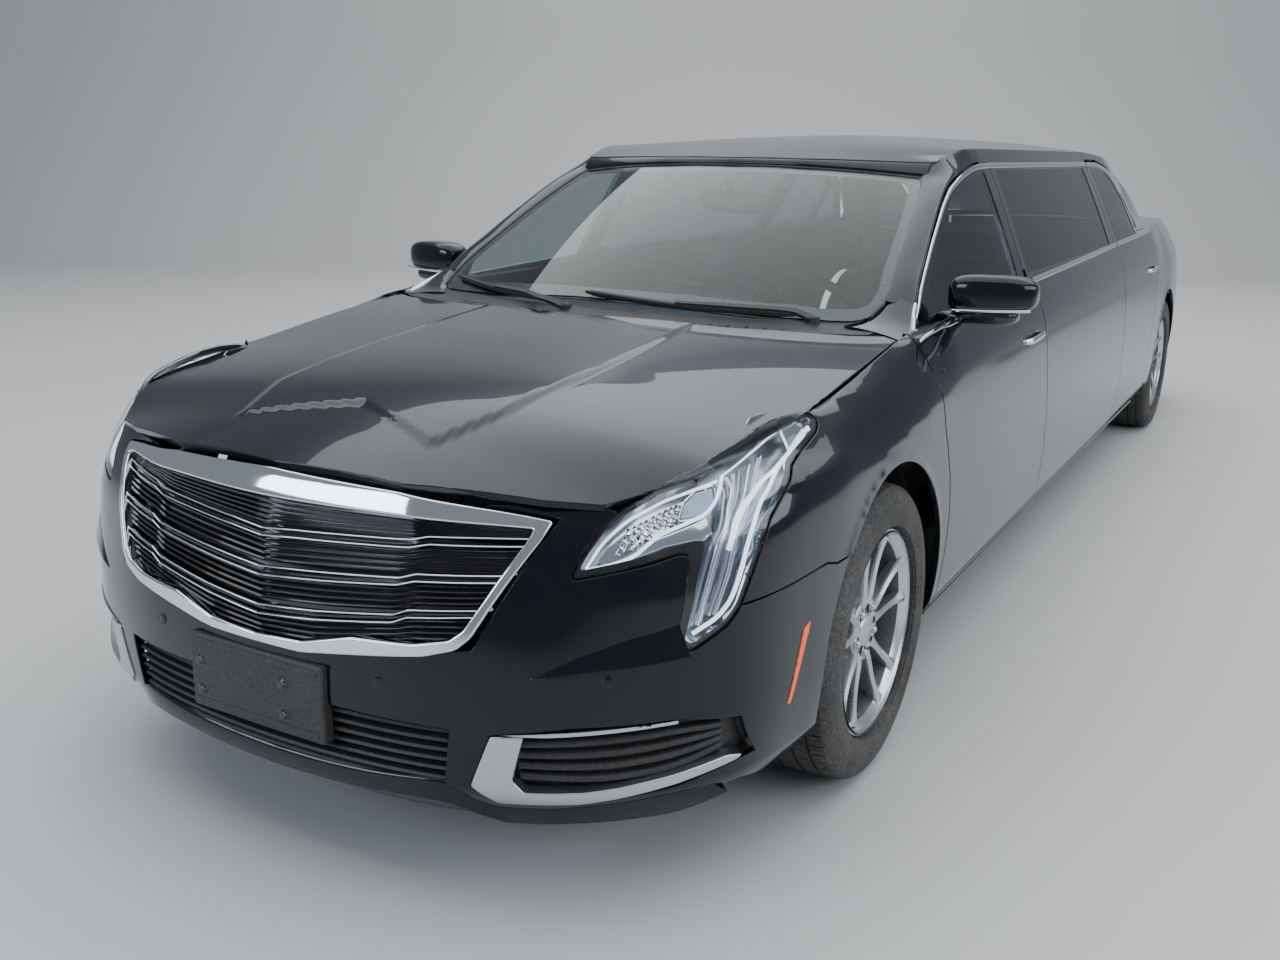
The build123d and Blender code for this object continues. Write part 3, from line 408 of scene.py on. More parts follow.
# Mesh making
def inside(points, loop):
    """Which points lie inside a closed outline."""
    x, y = points[:, 0], points[:, 1]
    found = np.zeros(len(points), bool)
    loop = np.array(loop, float)
    for (x0, y0), (x1, y1) in zip(loop, np.roll(loop, -1, axis=0)):
        crosses = (y0 > y) != (y1 > y)
        span = np.where(y1 - y0 == 0, 1e-9, y1 - y0)
        found ^= crosses & (x < (x1 - x0) * (y - y0) / span + x0)
    return found


def away_from(points, loop):
    """Distance from each point to a closed outline."""
    loop = np.array(loop, float)
    best = np.full(len(points), 1e9)
    for a, b in zip(loop, np.roll(loop, -1, axis=0)):
        ab = b - a
        t = np.clip(((points - a) @ ab) / max(ab @ ab, 1e-9), 0, 1)
        best = np.minimum(best, np.linalg.norm(points - (a + t[:, None] * ab), axis=1))
    return best


def triangles(outline, holes, step, edge_step=None):
    """Triangles of an outline less its cut-outs, in the plane of the outline."""
    edge_step = edge_step or step * 0.7
    loops = [divide(loop, edge_step) for loop in (outline, *holes)]
    corner = np.array(outline, float)
    low, high = corner.min(0), corner.max(0)
    gx, gy = np.meshgrid(np.arange(low[0] + step / 2, high[0], step),
                         np.arange(low[1] + step / 2, high[1], step))
    grid = np.stack([gx.ravel(), gy.ravel()], axis=1)
    keep = inside(grid, loops[0]) & (away_from(grid, outline) > step * 0.45)
    for hole, loop in zip(holes, loops[1:]):
        keep &= ~inside(grid, loop) & (away_from(grid, hole) > step * 0.45)
    flat, edges = [], []
    for loop in loops:
        base = len(flat)
        flat += loop
        edges += [(base + i, base + (i + 1) % len(loop)) for i in range(len(loop))]
    flat += [tuple(p) for p in grid[keep]]
    found = delaunay_2d_cdt([Vector(p) for p in flat], edges, [], 0, 1e-4)
    points = np.array([tuple(v) for v in found[0]])
    faces = np.array([f for f in found[2] if len(f) == 3])
    centre = points[faces].mean(axis=1)
    good = inside(centre, loops[0])
    for loop in loops[1:]:
        good &= ~inside(centre, loop)
    faces = faces[good]
    used, again = np.unique(faces, return_inverse=True)
    return points[used], again.reshape(faces.shape)


class Shape:
    """Points, faces and corner normals that are gathered into one piece."""

    def __init__(self):
        self.points, self.faces, self.normals, self.slots = [], [], [], []
        self.count = 0

    def add(self, points, faces, normals, slot=0):
        """normals: one for each corner of each face, or one for each point."""
        points = np.asarray(points, float)
        if len(normals) == len(points) and np.ndim(normals[0]) == 1:
            normals = [[normals[i] for i in face] for face in faces]
        self.faces += [tuple(int(i) + self.count for i in face) for face in faces]
        self.normals += [np.array(corner, float) for corner in normals]
        self.slots += [slot] * len(faces)
        self.points.append(points)
        self.count += len(points)
        return self

    def merged(self, other, flip=False):
        """Takes in another shape as it stands, or its mirror image."""
        side, way = ((-1, 1, 1), -1) if flip else ((1, 1, 1), 1)
        self.faces += [tuple(i + self.count for i in face[::way]) for face in other.faces]
        self.normals += [corner[::way] * side for corner in other.normals]
        self.slots += other.slots
        self.points.append(other.array() * side)
        self.count += len(self.points[-1])
        return self

    def array(self):
        return np.concatenate(self.points) if self.points else np.zeros((0, 3))

    def laid(self, axes=((1, 0, 0), (0, 1, 0), (0, 0, 1)), origin=(0, 0, 0)):
        """A copy with its own three directions laid along axes."""
        axes, made = np.array(axes, float), Shape().merged(self)
        made.points = [q @ axes + origin for q in made.points]
        made.normals = [corner @ axes for corner in made.normals]
        return made

    def both_sides(self):
        return Shape().merged(self).merged(self, flip=True)

    def piece(self, name, body, materials, replaces=()):
        """Makes the mesh in metres, rides it on a body and takes the place of CAD nodes."""
        mesh = bpy.data.meshes.new(name)
        points = (self.array() - (0, MIDDLE, 0)) / 1000.0
        mesh.from_pydata([tuple(p) for p in points], [], self.faces)
        for material in materials:
            mesh.materials.append(material)
        mesh.polygons.foreach_set("material_index", self.slots)
        mesh.polygons.foreach_set("use_smooth", [True] * len(mesh.polygons))
        normals = unit(np.concatenate(self.normals))
        if len(normals) == len(mesh.loops):
            mesh.normals_split_custom_set([tuple(n) for n in normals])
        made = bpy.data.objects.new(name, mesh)
        bpy.context.scene.collection.objects.link(made)
        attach(made, body)
        if replaces:
            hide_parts(*replaces)
        return made

    def pair(self, name, body, materials, replaces=None):
        """The left piece and its mirror image; %s in a name stands for the side."""
        for side, shape in (("left", self), ("right", Shape().merged(self, flip=True))):
            shape.piece(name.replace("%s", side), body.replace("%s", side), materials,
                        [replaces.replace("%s", side)] if replaces else ())


def skin_normals(skin, u, v, facing):
    """Directions square to a skin, on the side that looks along facing."""
    hu = 0.01 if np.max(np.abs(u)) < 20 else 1.5
    hv = 1.5
    n = unit(np.cross(skin(u + hu, v) - skin(u - hu, v), skin(u, v + hv) - skin(u, v - hv)))
    return -n if np.sum(n @ np.array(facing, float)) < 0 else n


def panel(skin, outline, holes=(), thick=14.0, edge=2.2, step=22.0, edge_step=None, facing=(1, 0, 0), out=0.0,
          shape=None):
    """A closed sheet that follows a skin inside an outline, with softly rounded edges."""
    shape = shape or Shape()
    flat, faces = triangles(outline, holes, step, edge_step)
    p = skin(flat[:, 0], flat[:, 1])
    n = skin_normals(skin, flat[:, 0], flat[:, 1], facing)
    p = p + n * out
    tri = p[faces]
    turn = np.cross(tri[:, 1] - tri[:, 0], tri[:, 2] - tri[:, 0])
    wrong = np.einsum("ij,ij->i", turn, n[faces].mean(axis=1)) < 0
    faces[wrong] = faces[wrong][:, ::-1]
    seen = {e: True for a, b, c in faces for e in ((a, b), (b, c), (c, a))}
    rim = [e for e in seen if (e[1], e[0]) not in seen]
    out_dir = np.zeros_like(p)
    for a, b in rim:
        for i in (a, b):
            out_dir[i] += unit(np.cross(p[b] - p[a], n[i]))
    size = np.linalg.norm(out_dir, axis=1)
    out_dir[size > 0] /= size[size > 0][:, None]
    front = p - out_dir * edge
    shape.add(front, faces, n)
    rings, ring_n = [front], [n]
    for t in (math.radians(45), math.radians(90)):
        rings.append(front + out_dir * edge * math.sin(t) - n * edge * (1 - math.cos(t)))
        ring_n.append(n * math.cos(t) + out_dir * math.sin(t))
    rings.append(front + out_dir * edge - n * thick)
    ring_n.append(out_dir)
    quads = [range(4 * i, 4 * i + 4) for i in range(len(rim))]
    for k in range(3):
        top, low = rings[k], rings[k + 1]
        n_top, n_low = ring_n[k] if k < 2 else out_dir, ring_n[k + 1]
        points = [q for a, b in rim for q in (top[a], low[a], low[b], top[b])]
        shape.add(points, quads, [[n_top[a], n_low[a], n_low[b], n_top[b]] for a, b in rim])
    return shape.add(rings[-1], faces[:, ::-1], -n, 1)


# Sweeps and turned shapes
def sweep(path, up, profile, closed=False, shape=None, slot=0, sharp=40, scale=None):
    """Carries a closed profile along a path. up is one direction, or one for each point of the path."""
    shape = shape or Shape()
    path = np.array(path, float)
    n = len(path)
    if closed:
        along = unit(np.roll(path, -1, axis=0) - np.roll(path, 1, axis=0))
    else:
        along = unit(np.gradient(path, axis=0))
    side = unit(np.cross(along, np.broadcast_to(np.array(up, float), path.shape)))
    top = np.cross(side, along)
    prof = np.array(profile, float)
    m = len(prof)
    after = np.roll(prof, -1, axis=0)
    en = unit(np.stack([(after - prof)[:, 1], -(after - prof)[:, 0]], axis=1))
    if np.sum(prof[:, 0] * after[:, 1] - after[:, 0] * prof[:, 1]) < 0:
        en = -en
    before = np.roll(en, 1, axis=0)
    bend = np.degrees(np.arccos(np.clip(np.sum(before * en, axis=1), -1, 1)))
    mean = unit(before + en)
    first = np.where((bend > sharp)[:, None], en, mean)
    last = np.where((np.roll(bend, -1) > sharp)[:, None], en, np.roll(mean, -1, axis=0))
    size = np.ones(n) if scale is None else np.array(scale, float)
    offset = prof[None] * size[:, None, None]
    points = path[:, None] + side[:, None] * offset[:, :, :1] + top[:, None] * offset[:, :, 1:]

    def turned(k, vec):
        return side[k] * vec[0] + top[k] * vec[1]

    faces, corners = [], []
    for i in range(n if closed else n - 1):
        j = (i + 1) % n
        for k in range(m):
            q = (k + 1) % m
            faces.append((i * m + k, i * m + q, j * m + q, j * m + k))
            corners.append([turned(i, first[k]), turned(i, last[k]), turned(j, last[k]), turned(j, first[k])])
    flat, f = points.reshape(-1, 3), faces[0]
    turn = np.cross(flat[f[1]] - flat[f[0]], flat[f[2]] - flat[f[0]])
    if turn @ np.mean(corners[0], axis=0) < 0:
        faces, corners = [f[::-1] for f in faces], [c[::-1] for c in corners]
    shape.add(flat, faces, corners, slot)
    for i, sign in () if closed else ((0, -1), (n - 1, 1)):
        total = np.cross(points[i], np.roll(points[i], -1, axis=0)).sum(axis=0)
        way = -1 if (total @ along[i]) * sign < 0 else 1
        shape.add(points[i], [tuple(range(m))[::way]], [[along[i] * sign] * m], slot)
    return shape


def circle(radius, count=16, squash=1.0):
    turns = [2 * math.pi * k / count for k in range(count)]
    return [(radius * math.cos(a), radius * squash * math.sin(a)) for a in turns]


def bar(width, high):
    """Section of a flat bar."""
    return [(-width / 2, -high / 2), (width / 2, -high / 2), (width / 2, high / 2), (-width / 2, high / 2)]


def half_round(width, high, count=8, sink=1.5):
    """Section of a moulding: domed on top, with its foot sunk into the panel."""
    turns = [math.pi * k / count for k in range(count + 1)]
    top = [(width / 2 * math.cos(a), high * math.sin(a)) for a in turns]
    return top + [(-width / 2, -sink), (width / 2, -sink)]


def lathe(profile, centre, count=64, shape=None, slot=0, sharp=35, axis="x"):
    """Turns a profile of (distance along the axis, radius) round an axis through a point."""
    shape = shape or Shape()
    prof, centre = np.array(profile, float), np.array(centre, float)
    edge = np.diff(prof, axis=0)
    en = unit(np.stack([-edge[:, 1], edge[:, 0]], axis=1))
    first, last = en.copy(), en.copy()
    for k in range(1, len(en)):
        if math.degrees(math.acos(max(-1, min(1, float(en[k - 1] @ en[k]))))) <= sharp:
            last[k - 1] = first[k] = unit(en[k - 1] + en[k])
    order = {"x": (0, 1, 2), "y": (1, 0, 2), "z": (1, 2, 0)}[axis]

    def place(a, r, t):
        parts = (a, r * math.cos(t), r * math.sin(t))
        return np.array([parts[i] for i in order])

    points, faces, corners = [], [], []
    for k in range(len(en)):
        for i in range(count):
            t0, t1 = 2 * math.pi * i / count, 2 * math.pi * (i + 1) / count
            ring = [(k, t0, first), (k + 1, t0, last), (k + 1, t1, last), (k, t1, first)]
            if prof[k][1] < 1e-6:
                ring = ring[:3]
            elif prof[k + 1][1] < 1e-6:
                ring = [ring[0], ring[1], ring[3]]
            pts = [centre + place(*prof[q], t) for q, t, _ in ring]
            nrm = [place(*table[k], t) for _, t, table in ring]
            face = tuple(range(len(points), len(points) + len(pts)))
            if np.cross(pts[1] - pts[0], pts[2] - pts[0]) @ np.mean(nrm, axis=0) < 0:
                face, nrm = face[::-1], nrm[::-1]
            points += pts
            faces.append(face)
            corners.append(nrm)
    return shape.add(points, faces, corners, slot)


def soft_block(low, high, edge=4.0, segments=2, shape=None, slot=0, bend=None):
    """Box with rounded edges; bend may move its points."""
    work = bmesh.new()
    bmesh.ops.create_cube(work, size=1.0)
    low, high = np.array(low, float), np.array(high, float)
    for v in work.verts:
        v.co = Vector((low + high) / 2) + Vector(np.array(v.co) * (high - low))
    bmesh.ops.bevel(work, geom=work.edges[:], offset=edge, segments=segments, profile=0.5, affect="EDGES")
    return add_work(work, shape or Shape(), slot, bend)


def add_work(work, shape, slot=0, bend=None, sharp=50):
    """Adds a bmesh to a shape with normals smoothed across soft edges."""
    if bend:
        for v in work.verts:
            v.co = Vector(bend(*v.co))
    bmesh.ops.recalc_face_normals(work, faces=work.faces[:])
    work.normal_update()
    limit = math.radians(sharp)
    faces, corners = [], []
    for f in work.faces:
        faces.append(tuple(v.index for v in f.verts))
        nrm = []
        for v in f.verts:
            total = Vector((0, 0, 0))
            for g in v.link_faces:
                if g.normal.angle(f.normal, 0) < limit:
                    total += g.normal * g.calc_area()
            nrm.append(tuple(total.normalized() if total.length > 0 else f.normal))
        corners.append(nrm)
    shape.add([tuple(v.co) for v in work.verts], faces, corners, slot)
    work.free()
    return shape


def surface_path(skin, points, step=12.0, closed=True, out=0.0, facing=(1, 0, 0)):
    """Points and normals of a line drawn on a skin."""
    line = np.array(divide(points, step, closed), float)
    p = skin(line[:, 0], line[:, 1])
    n = skin_normals(skin, line[:, 0], line[:, 1], facing)
    return p + n * out, n


# Shared shader effects
def group(name, inputs, outputs):
    tree = bpy.data.node_groups.new(name, "ShaderNodeTree")
    for label, kind, value in inputs:
        socket = tree.interface.new_socket(name=label, in_out="INPUT", socket_type=kind)
        if value is not None:
            socket.default_value = value
    for label, kind in outputs:
        tree.interface.new_socket(name=label, in_out="OUTPUT", socket_type=kind)
    start = tree.nodes.new("NodeGroupInput")
    end = tree.nodes.new("NodeGroupOutput")
    return tree, start, end


def join(tree, a, b):
    tree.links.new(a, b)


def add_node(tree, kind, inputs, **settings):
    """New shader node; each input is a plain value or the output that feeds it."""
    node = tree.nodes.new(kind)
    for name, value in settings.items():
        setattr(node, name, value)
    for name, value in inputs.items():
        if isinstance(value, bpy.types.NodeSocket):
            tree.links.new(value, node.inputs[name])
        else:
            node.inputs[name].default_value = value
    return node


def dust_group():
    """A thin film of dust in uneven patches over a colour and its roughness."""
    tree, start, end = group("dust_film", [
        ("Color", "NodeSocketColor", (0.02, 0.02, 0.02, 1)),
        ("Dust Color", "NodeSocketColor", (0.3, 0.28, 0.25, 1)),
        ("Amount", "NodeSocketFloat", 0.1), ("Patch Size", "NodeSocketFloat", 3.0),
        ("Roughness", "NodeSocketFloat", 0.1), ("Dusty Roughness", "NodeSocketFloat", 0.5),
    ], [("Color", "NodeSocketColor"), ("Roughness", "NodeSocketFloat"), ("Mask", "NodeSocketFloat")])
    given = start.outputs
    place = add_node(tree, "ShaderNodeTexCoord", {}).outputs["Object"]
    patch = add_node(tree, "ShaderNodeTexNoise", {
        "Vector": place, "Scale": given["Patch Size"], "Detail": 6, "Roughness": 0.65})
    fine = add_node(tree, "ShaderNodeTexNoise", {"Vector": place, "Scale": 140, "Detail": 3})
    both = add_node(tree, "ShaderNodeMath", {0: patch.outputs["Fac"], 1: fine.outputs["Fac"]},
                    operation="MULTIPLY")
    spread = add_node(tree, "ShaderNodeMapRange", {
        "Value": both.outputs[0], "From Min": 0.12, "From Max": 0.42})
    amount = add_node(tree, "ShaderNodeMath", {0: spread.outputs[0], 1: given["Amount"]},
                      operation="MULTIPLY", use_clamp=True).outputs[0]
    colour = add_node(tree, "ShaderNodeMix", {0: amount, 6: given["Color"], 7: given["Dust Color"]},
                      data_type="RGBA")
    rough = add_node(tree, "ShaderNodeMix", {0: amount, 2: given["Roughness"], 3: given["Dusty Roughness"]})
    join(tree, colour.outputs[2], end.inputs["Color"])
    join(tree, rough.outputs[0], end.inputs["Roughness"])
    join(tree, amount, end.inputs["Mask"])
    return tree


def grain_group():
    """Height of a fine moulded or leather grain."""
    tree, start, end = group("fine_grain", [
        ("Size", "NodeSocketFloat", 300.0), ("Stretch", "NodeSocketVector", (1, 1, 1)),
        ("Mottle", "NodeSocketFloat", 0.4),
    ], [("Height", "NodeSocketFloat"), ("Shade", "NodeSocketFloat")])
    place = add_node(tree, "ShaderNodeTexCoord", {})
    scaled = add_node(tree, "ShaderNodeVectorMath", {
        0: place.outputs["Object"], 1: start.outputs["Stretch"]}, operation="MULTIPLY").outputs[0]
    cells = add_node(tree, "ShaderNodeTexVoronoi", {"Vector": scaled, "Scale": start.outputs["Size"]},
                     feature="SMOOTH_F1")
    blur = add_node(tree, "ShaderNodeTexNoise", {"Vector": scaled, "Scale": 9, "Detail": 4}).outputs["Fac"]
    mix = add_node(tree, "ShaderNodeMath", {
        0: blur, 1: start.outputs["Mottle"], 2: cells.outputs["Distance"]}, operation="MULTIPLY_ADD")
    join(tree, mix.outputs[0], end.inputs["Height"])
    join(tree, blur, end.inputs["Shade"])
    return tree


dust_film = dust_group()
fine_grain = grain_group()


def finish_material(name, colour, rough, metal=0.0, dust=0.0, dusty=0.5, patch=3.0, coat=0.0, coat_rough=0.03,
                    grain=0.0, grain_size=300.0, mottle=0.4, **sockets):
    """Principled material with a dust film, and a grain where one is wanted."""
    made = bpy.data.materials.new(name)
    made.use_nodes = True
    tree = made.node_tree
    shader = tree.nodes["Principled BSDF"]
    film = add_node(tree, "ShaderNodeGroup", {
        "Color": (*colour, 1), "Dust Color": (0.32, 0.3, 0.27, 1), "Amount": dust, "Patch Size": patch,
        "Roughness": rough, "Dusty Roughness": dusty}, node_tree=dust_film)
    join(tree, film.outputs["Color"], shader.inputs["Base Color"])
    join(tree, film.outputs["Roughness"], shader.inputs["Roughness"])
    shader.inputs["Metallic"].default_value = metal
    shader.inputs["Coat Weight"].default_value = coat
    shader.inputs["Coat Roughness"].default_value = coat_rough
    if grain:
        pattern = add_node(tree, "ShaderNodeGroup", {"Size": grain_size, "Mottle": mottle},
                           node_tree=fine_grain)
        bump = add_node(tree, "ShaderNodeBump", {
            "Strength": grain, "Distance": 0.001, "Height": pattern.outputs["Height"]})
        join(tree, bump.outputs["Normal"], shader.inputs["Normal"])
    for label, value in sockets.items():
        shader.inputs[label.replace("_", " ")].default_value = value
    return made


def glass_material(name, tint, rough=0.0, ior=1.45):
    made = finish_material(name, tint, rough, dust=0.02, dusty=0.12)
    shader = made.node_tree.nodes["Principled BSDF"]
    shader.inputs["Transmission Weight"].default_value = 1.0
    shader.inputs["IOR"].default_value = ior
    return made


paint = finish_material("black_paint", (0.0012, 0.0018, 0.0045), 0.2, dust=0.012, dusty=0.4, coat=0.85,
                        coat_rough=0.015, Specular_IOR_Level=0.18, Coat_IOR=1.42,
                        Coat_Tint=(0.9, 0.95, 1.0, 1))
roof_paint = finish_material("roof_paint", (0.010, 0.012, 0.016), 0.32, dust=0.10, dusty=0.5, coat=0.6,
                             coat_rough=0.1, Coat_IOR=1.4)
chrome = finish_material("bright_chrome", (0.86, 0.88, 0.9), 0.06, metal=1.0, dust=0.05, dusty=0.4)
satin = finish_material("satin_silver", (0.62, 0.64, 0.67), 0.32, metal=1.0, dust=0.08)
silver = finish_material("wheel_silver", (0.66, 0.67, 0.69), 0.26, metal=0.9, dust=0.22, dusty=0.55, coat=0.6,
                         coat_rough=0.08)
wheel_dark = finish_material("wheel_shadow", (0.09, 0.09, 0.095), 0.5, metal=0.6, dust=0.3)
rubber = finish_material("tyre_rubber", (0.016, 0.016, 0.017), 0.72, dust=0.34, dusty=0.9, patch=6,
                         grain=0.25, grain_size=900)
plastic = finish_material("black_plastic", (0.014, 0.014, 0.016), 0.48, dust=0.14, dusty=0.75, grain=0.25,
                          grain_size=700)
gloss_black = finish_material("gloss_black", (0.006, 0.006, 0.008), 0.09, dust=0.05, coat=0.6)
lamp_black = finish_material("lamp_black", (0.02, 0.021, 0.024), 0.22, dust=0.02)
steel = finish_material("undercoat", (0.045, 0.046, 0.05), 0.62, metal=0.4, dust=0.4, dusty=0.85, grain=0.3,
                        grain_size=160)
iron = finish_material("cast_iron", (0.13, 0.13, 0.135), 0.6, metal=0.8, dust=0.4, dusty=0.85, grain=0.5,
                       grain_size=260)
brake = finish_material("brake_disc", (0.42, 0.42, 0.43), 0.3, metal=1.0, dust=0.2)
leather = finish_material("black_leather", (0.03, 0.028, 0.027), 0.42, dust=0.05, grain=0.5, grain_size=420,
                          mottle=0.2)
trim = finish_material("soft_trim", (0.022, 0.022, 0.024), 0.6, dust=0.08, grain=0.35, grain_size=650)
cloth = finish_material("roof_cloth", (0.23, 0.22, 0.2), 0.95, dust=0.1, grain=0.6, grain_size=1400)
lens = glass_material("lamp_lens", (0.93, 0.96, 0.99), 0.0, ior=1.3)
screen_glass = glass_material("screen_glass", (0.80, 0.90, 0.86), 0.0, ior=1.35)
dash_trim = finish_material("dash_trim", (0.035, 0.045, 0.075), 0.5, dust=0.08, grain=0.3, grain_size=520)
side_glass = glass_material("side_glass", (0.42, 0.47, 0.46), 0.0, ior=1.45)
mirror_glass = finish_material("mirror_glass", (0.8, 0.82, 0.85), 0.03, metal=1.0)
dark_glass = glass_material("dark_glass", (0.10, 0.115, 0.125), 0.0, ior=1.45)
tail_red = glass_material("tail_red", (0.45, 0.012, 0.018), 0.05, ior=1.45)
light_red = finish_material("light_red", (0.7, 0.02, 0.03), 0.25, Emission_Color=(1, 0.03, 0.03, 1),
                            Emission_Strength=0.5)
marker_orange = finish_material("marker_orange", (0.8, 0.10, 0.02), 0.15, dust=0.03, coat=0.6,
                                Emission_Color=(1.0, 0.12, 0.02, 1), Emission_Strength=0.35)
light_white = finish_material("light_white", (0.9, 0.93, 1.0), 0.25, Emission_Color=(0.85, 0.93, 1, 1),
                              Emission_Strength=1.6)
lamp_silver = finish_material("lamp_silver", (0.5, 0.54, 0.6), 0.22, metal=0.75, dust=0.02)
reflector = finish_material("lamp_reflector", (0.9, 0.92, 0.95), 0.08, metal=1.0)
lamp_blue = finish_material("lamp_bulb_lens", (0.28, 0.36, 0.52), 0.05, metal=0.5, coat=1.0)
ribbed = finish_material("lamp_ribs", (0.55, 0.6, 0.66), 0.15, metal=0.6, coat=1.0)


# Painted body
def side_arch(centre, more=0.0):
    """Edge of a wheel opening on the body side, moved outward by more."""
    turns = [2 * math.pi * k / 64 for k in range(64)]
    return [(centre + (ARCH_WIDE + more) * math.cos(a), WHEEL_Z + (ARCH_HIGH + more) * math.sin(a))
            for a in turns]


NOSE_SCALE = 250.0
SEAM = 4.0
NOSE_AHEAD = (0.3, -0.9, 0.1)
LAMP_FACING = (0.5, -0.8, 0.2)


def whole_width(skin):
    """A skin on both sides: u runs outward from the middle, left side positive."""
    def full(u, z):
        u = np.asarray(u, float)
        p = skin(np.clip(np.abs(u) / NOSE_SCALE, 0, SKIN_END), z)
        p[:, 0] *= np.where(u < 0, -1, 1)
        return p
    return full


nose_full, tail_full = whole_width(nose_skin), whole_width(tail_skin)


def on_skin(points, skin, kind="x"):
    """Outline given by x, y or -y and height, turned into places along a skin."""
    line = np.array(points, float)
    measure = {"x": lambda x, y: x, "y": lambda x, y: y, "-y": lambda x, y: -y}[kind]
    wanted = -line[:, 0] if kind == "-y" else line[:, 0]
    s = solve_s(skin, measure, wanted, line[:, 1])
    return [(a * NOSE_SCALE, z) for a, z in zip(s, line[:, 1])]


def on_nose(points, kind="x"):
    return on_skin(points, nose_skin, kind)


def on_tail(points, kind="x"):
    return on_skin(points, tail_skin, kind)


def nose_outline(points, step=20.0):
    return on_nose(divide(points, step))


def half_and_twin(half):
    """Whole outline across the nose from its left half."""
    return mirrored(on_nose(divide(half, 20.0, closed=False)))


def nose_panel(line, holes=(), **sizes):
    return panel(nose_full, line, holes, facing=(0, -1, 0), **sizes)


def lamp_panel(line, holes=(), **sizes):
    return panel(nose_full, line, holes, facing=LAMP_FACING, **sizes)


def lamp_path(line, step, closed, out):
    return surface_path(nose_full, line, step, closed, out, LAMP_FACING)


def lamp_hole():
    """Outline of a headlamp's opening in the painted skins."""
    return grow(rounded(LENS_LINE, 16), 3)


def build_front_fenders():
    run = np.linspace(-330, 345, 28)
    r = SIDE(run)
    cut = r[:, 8] + (r[:, 0] - r[:, 9]) - 809.0
    hood_side = [(y, t) for y, t in zip(run, cut)] + [(360, 1100), (-900, 1100), (-900, 905)]
    p = nose_full(*np.array(divide(lamp_hole(), 12)).T)
    lamp_side = [(a, b) for a, b in zip(p[:, 1], p[:, 2])]
    bumper_side = [(-900, 100), (-200, 100), (-200, 622), (-346, 622), (-393, 635), (-667, 624), (-900, 600)]
    outline = [(-668, 180), (446, 180), (446, 640), (430, 1001), (345, 1001), (345, 1060), (-668, 1060)]
    holes = [side_arch(0), grow(FRONT_DOOR_LOW, SEAM), bumper_side, hood_side, lamp_side]
    half = panel(side_skin, outline, holes, thick=12, step=20)
    half.both_sides().piece("fender_skins", "shell", [paint, plastic], ["front_fenders"])


def build_front_bumper():
    outline = on_nose(divide([(0, 190), (476, 190), (700, 222), (852, 262)], 20, closed=False))
    outline += on_nose([(-560, 240), (-330, 190)], "y")
    outline += on_nose([(-200, 190), (-200, 619), (-346, 619), (-393, 632), (-560, 626), (-660, 620)], "y")
    outline += [(870, 640), (870, 760)] + on_nose([(640, 801), (600, 799), (450, 799)]) + [(0, 800)]
    arch_hole = on_nose([p for p in side_arch(0) if -700 < p[0] < -101 and p[1] < 800], "y")
    arch_hole = arch_hole + [(1500, 740), (1500, 0)]
    holes = []
    for loop in (arch_hole, lamp_hole(), nose_outline(grow(FOG_OUT, 1))):
        holes += [loop, [(-u, z) for u, z in loop]]
    holes.append(half_and_twin([(0, 826), (295, 816), (573, 780), (467, 551), (231, 510), (0, 492)]))
    holes.append(half_and_twin(INTAKE))
    whole = nose_panel(mirrored(outline), holes, thick=12, step=18)
    whole.piece("bumper_skin", "shell", [paint, plastic], ["front_bumper"])


def hood_skin(x, y):
    """Crown of the hood, with its raised middle between two creases and a shallow V in front."""
    p = crown_skin(HOOD)(x, y)
    across = np.abs(p[:, 0])
    crease = np.interp(p[:, 1], [-800, -644, -303, 86, 150], [253, 305, 328, 319, 316])
    start = np.interp(across, [0, 83, 177, 253, 330], [-700, -733, -768, -800, -840])
    middle = 1 - smooth_step(crease - 10, crease + 16, across)
    behind = smooth_step(start - 14, start + 12, p[:, 1])
    p[:, 2] += 7 * middle * behind * (1 - 0.7 * smooth_step(-500, 150, p[:, 1]))
    return p


def build_hood():
    whole = panel(hood_skin, mirrored(HOOD_EDGE), thick=14, step=13, facing=(0, 0, 1))
    whole.piece("hood_skin", "hood", [paint, steel], ["hood"])


def build_doors():
    front = panel(side_skin, FRONT_DOOR_LOW, [side_arch(0, 4)], thick=24, step=24)
    panel(house_skin, FRONT_FRAME, [FRONT_GLASS], thick=20, step=24, shape=front)
    front.pair("front_door_skin_%s", "front_door_%s", [paint, trim], "front_door_%s")
    rear = panel(side_skin, REAR_DOOR_LOW, [side_arch(WHEELBASE, 6)], thick=24, step=24)
    panel(house_skin, REAR_FRAME, [REAR_GLASS, QUARTER_GLASS], thick=20, step=24, shape=rear)
    rear.pair("rear_door_skin_%s", "rear_door_%s", [paint, trim], "rear_door_%s")


def build_middle():
    outline = [(1440, 290), (3130, 290), (3130, 1100), (1440, 1100)]
    top = [(1400, 1034), (3200, 1066), (3200, 1200), (1400, 1200)]
    made = panel(side_skin, outline, [grow(FRONT_DOOR_LOW, SEAM), grow(REAR_DOOR_LOW, SEAM), top], thick=24,
                 step=24)
    outline = [(1440, 1030), (3184, 1060), (3184, 1438), (1440, 1438)]
    foot = [(1400, 900), (1506, 900), (1506, 1064), (1400, 1064)]
    holes = [grow(FRONT_FRAME, SEAM), grow(REAR_FRAME, SEAM), CENTRE_GLASS, foot]
    panel(house_skin, outline, holes, thick=20, step=24, shape=made)
    made.both_sides().piece("centre_skins", "shell", [paint, trim], ["centre_panels"])


def build_roof():
    edge = [(float(ROOF(y)[0]) - 1, y) for y in np.linspace(1150, 4250, 60)]
    outline = [(0, 1012), (240, 1032), (420, 1074), (560, 1118), (598, 1134)] + edge + [(0, 4256)]
    whole = panel(crown_skin(ROOF), mirrored(outline), thick=16, edge=2.0, step=34, facing=(0, 0, 1))
    whole.piece("roof_skin", "shell", [roof_paint, cloth], ["roof"])


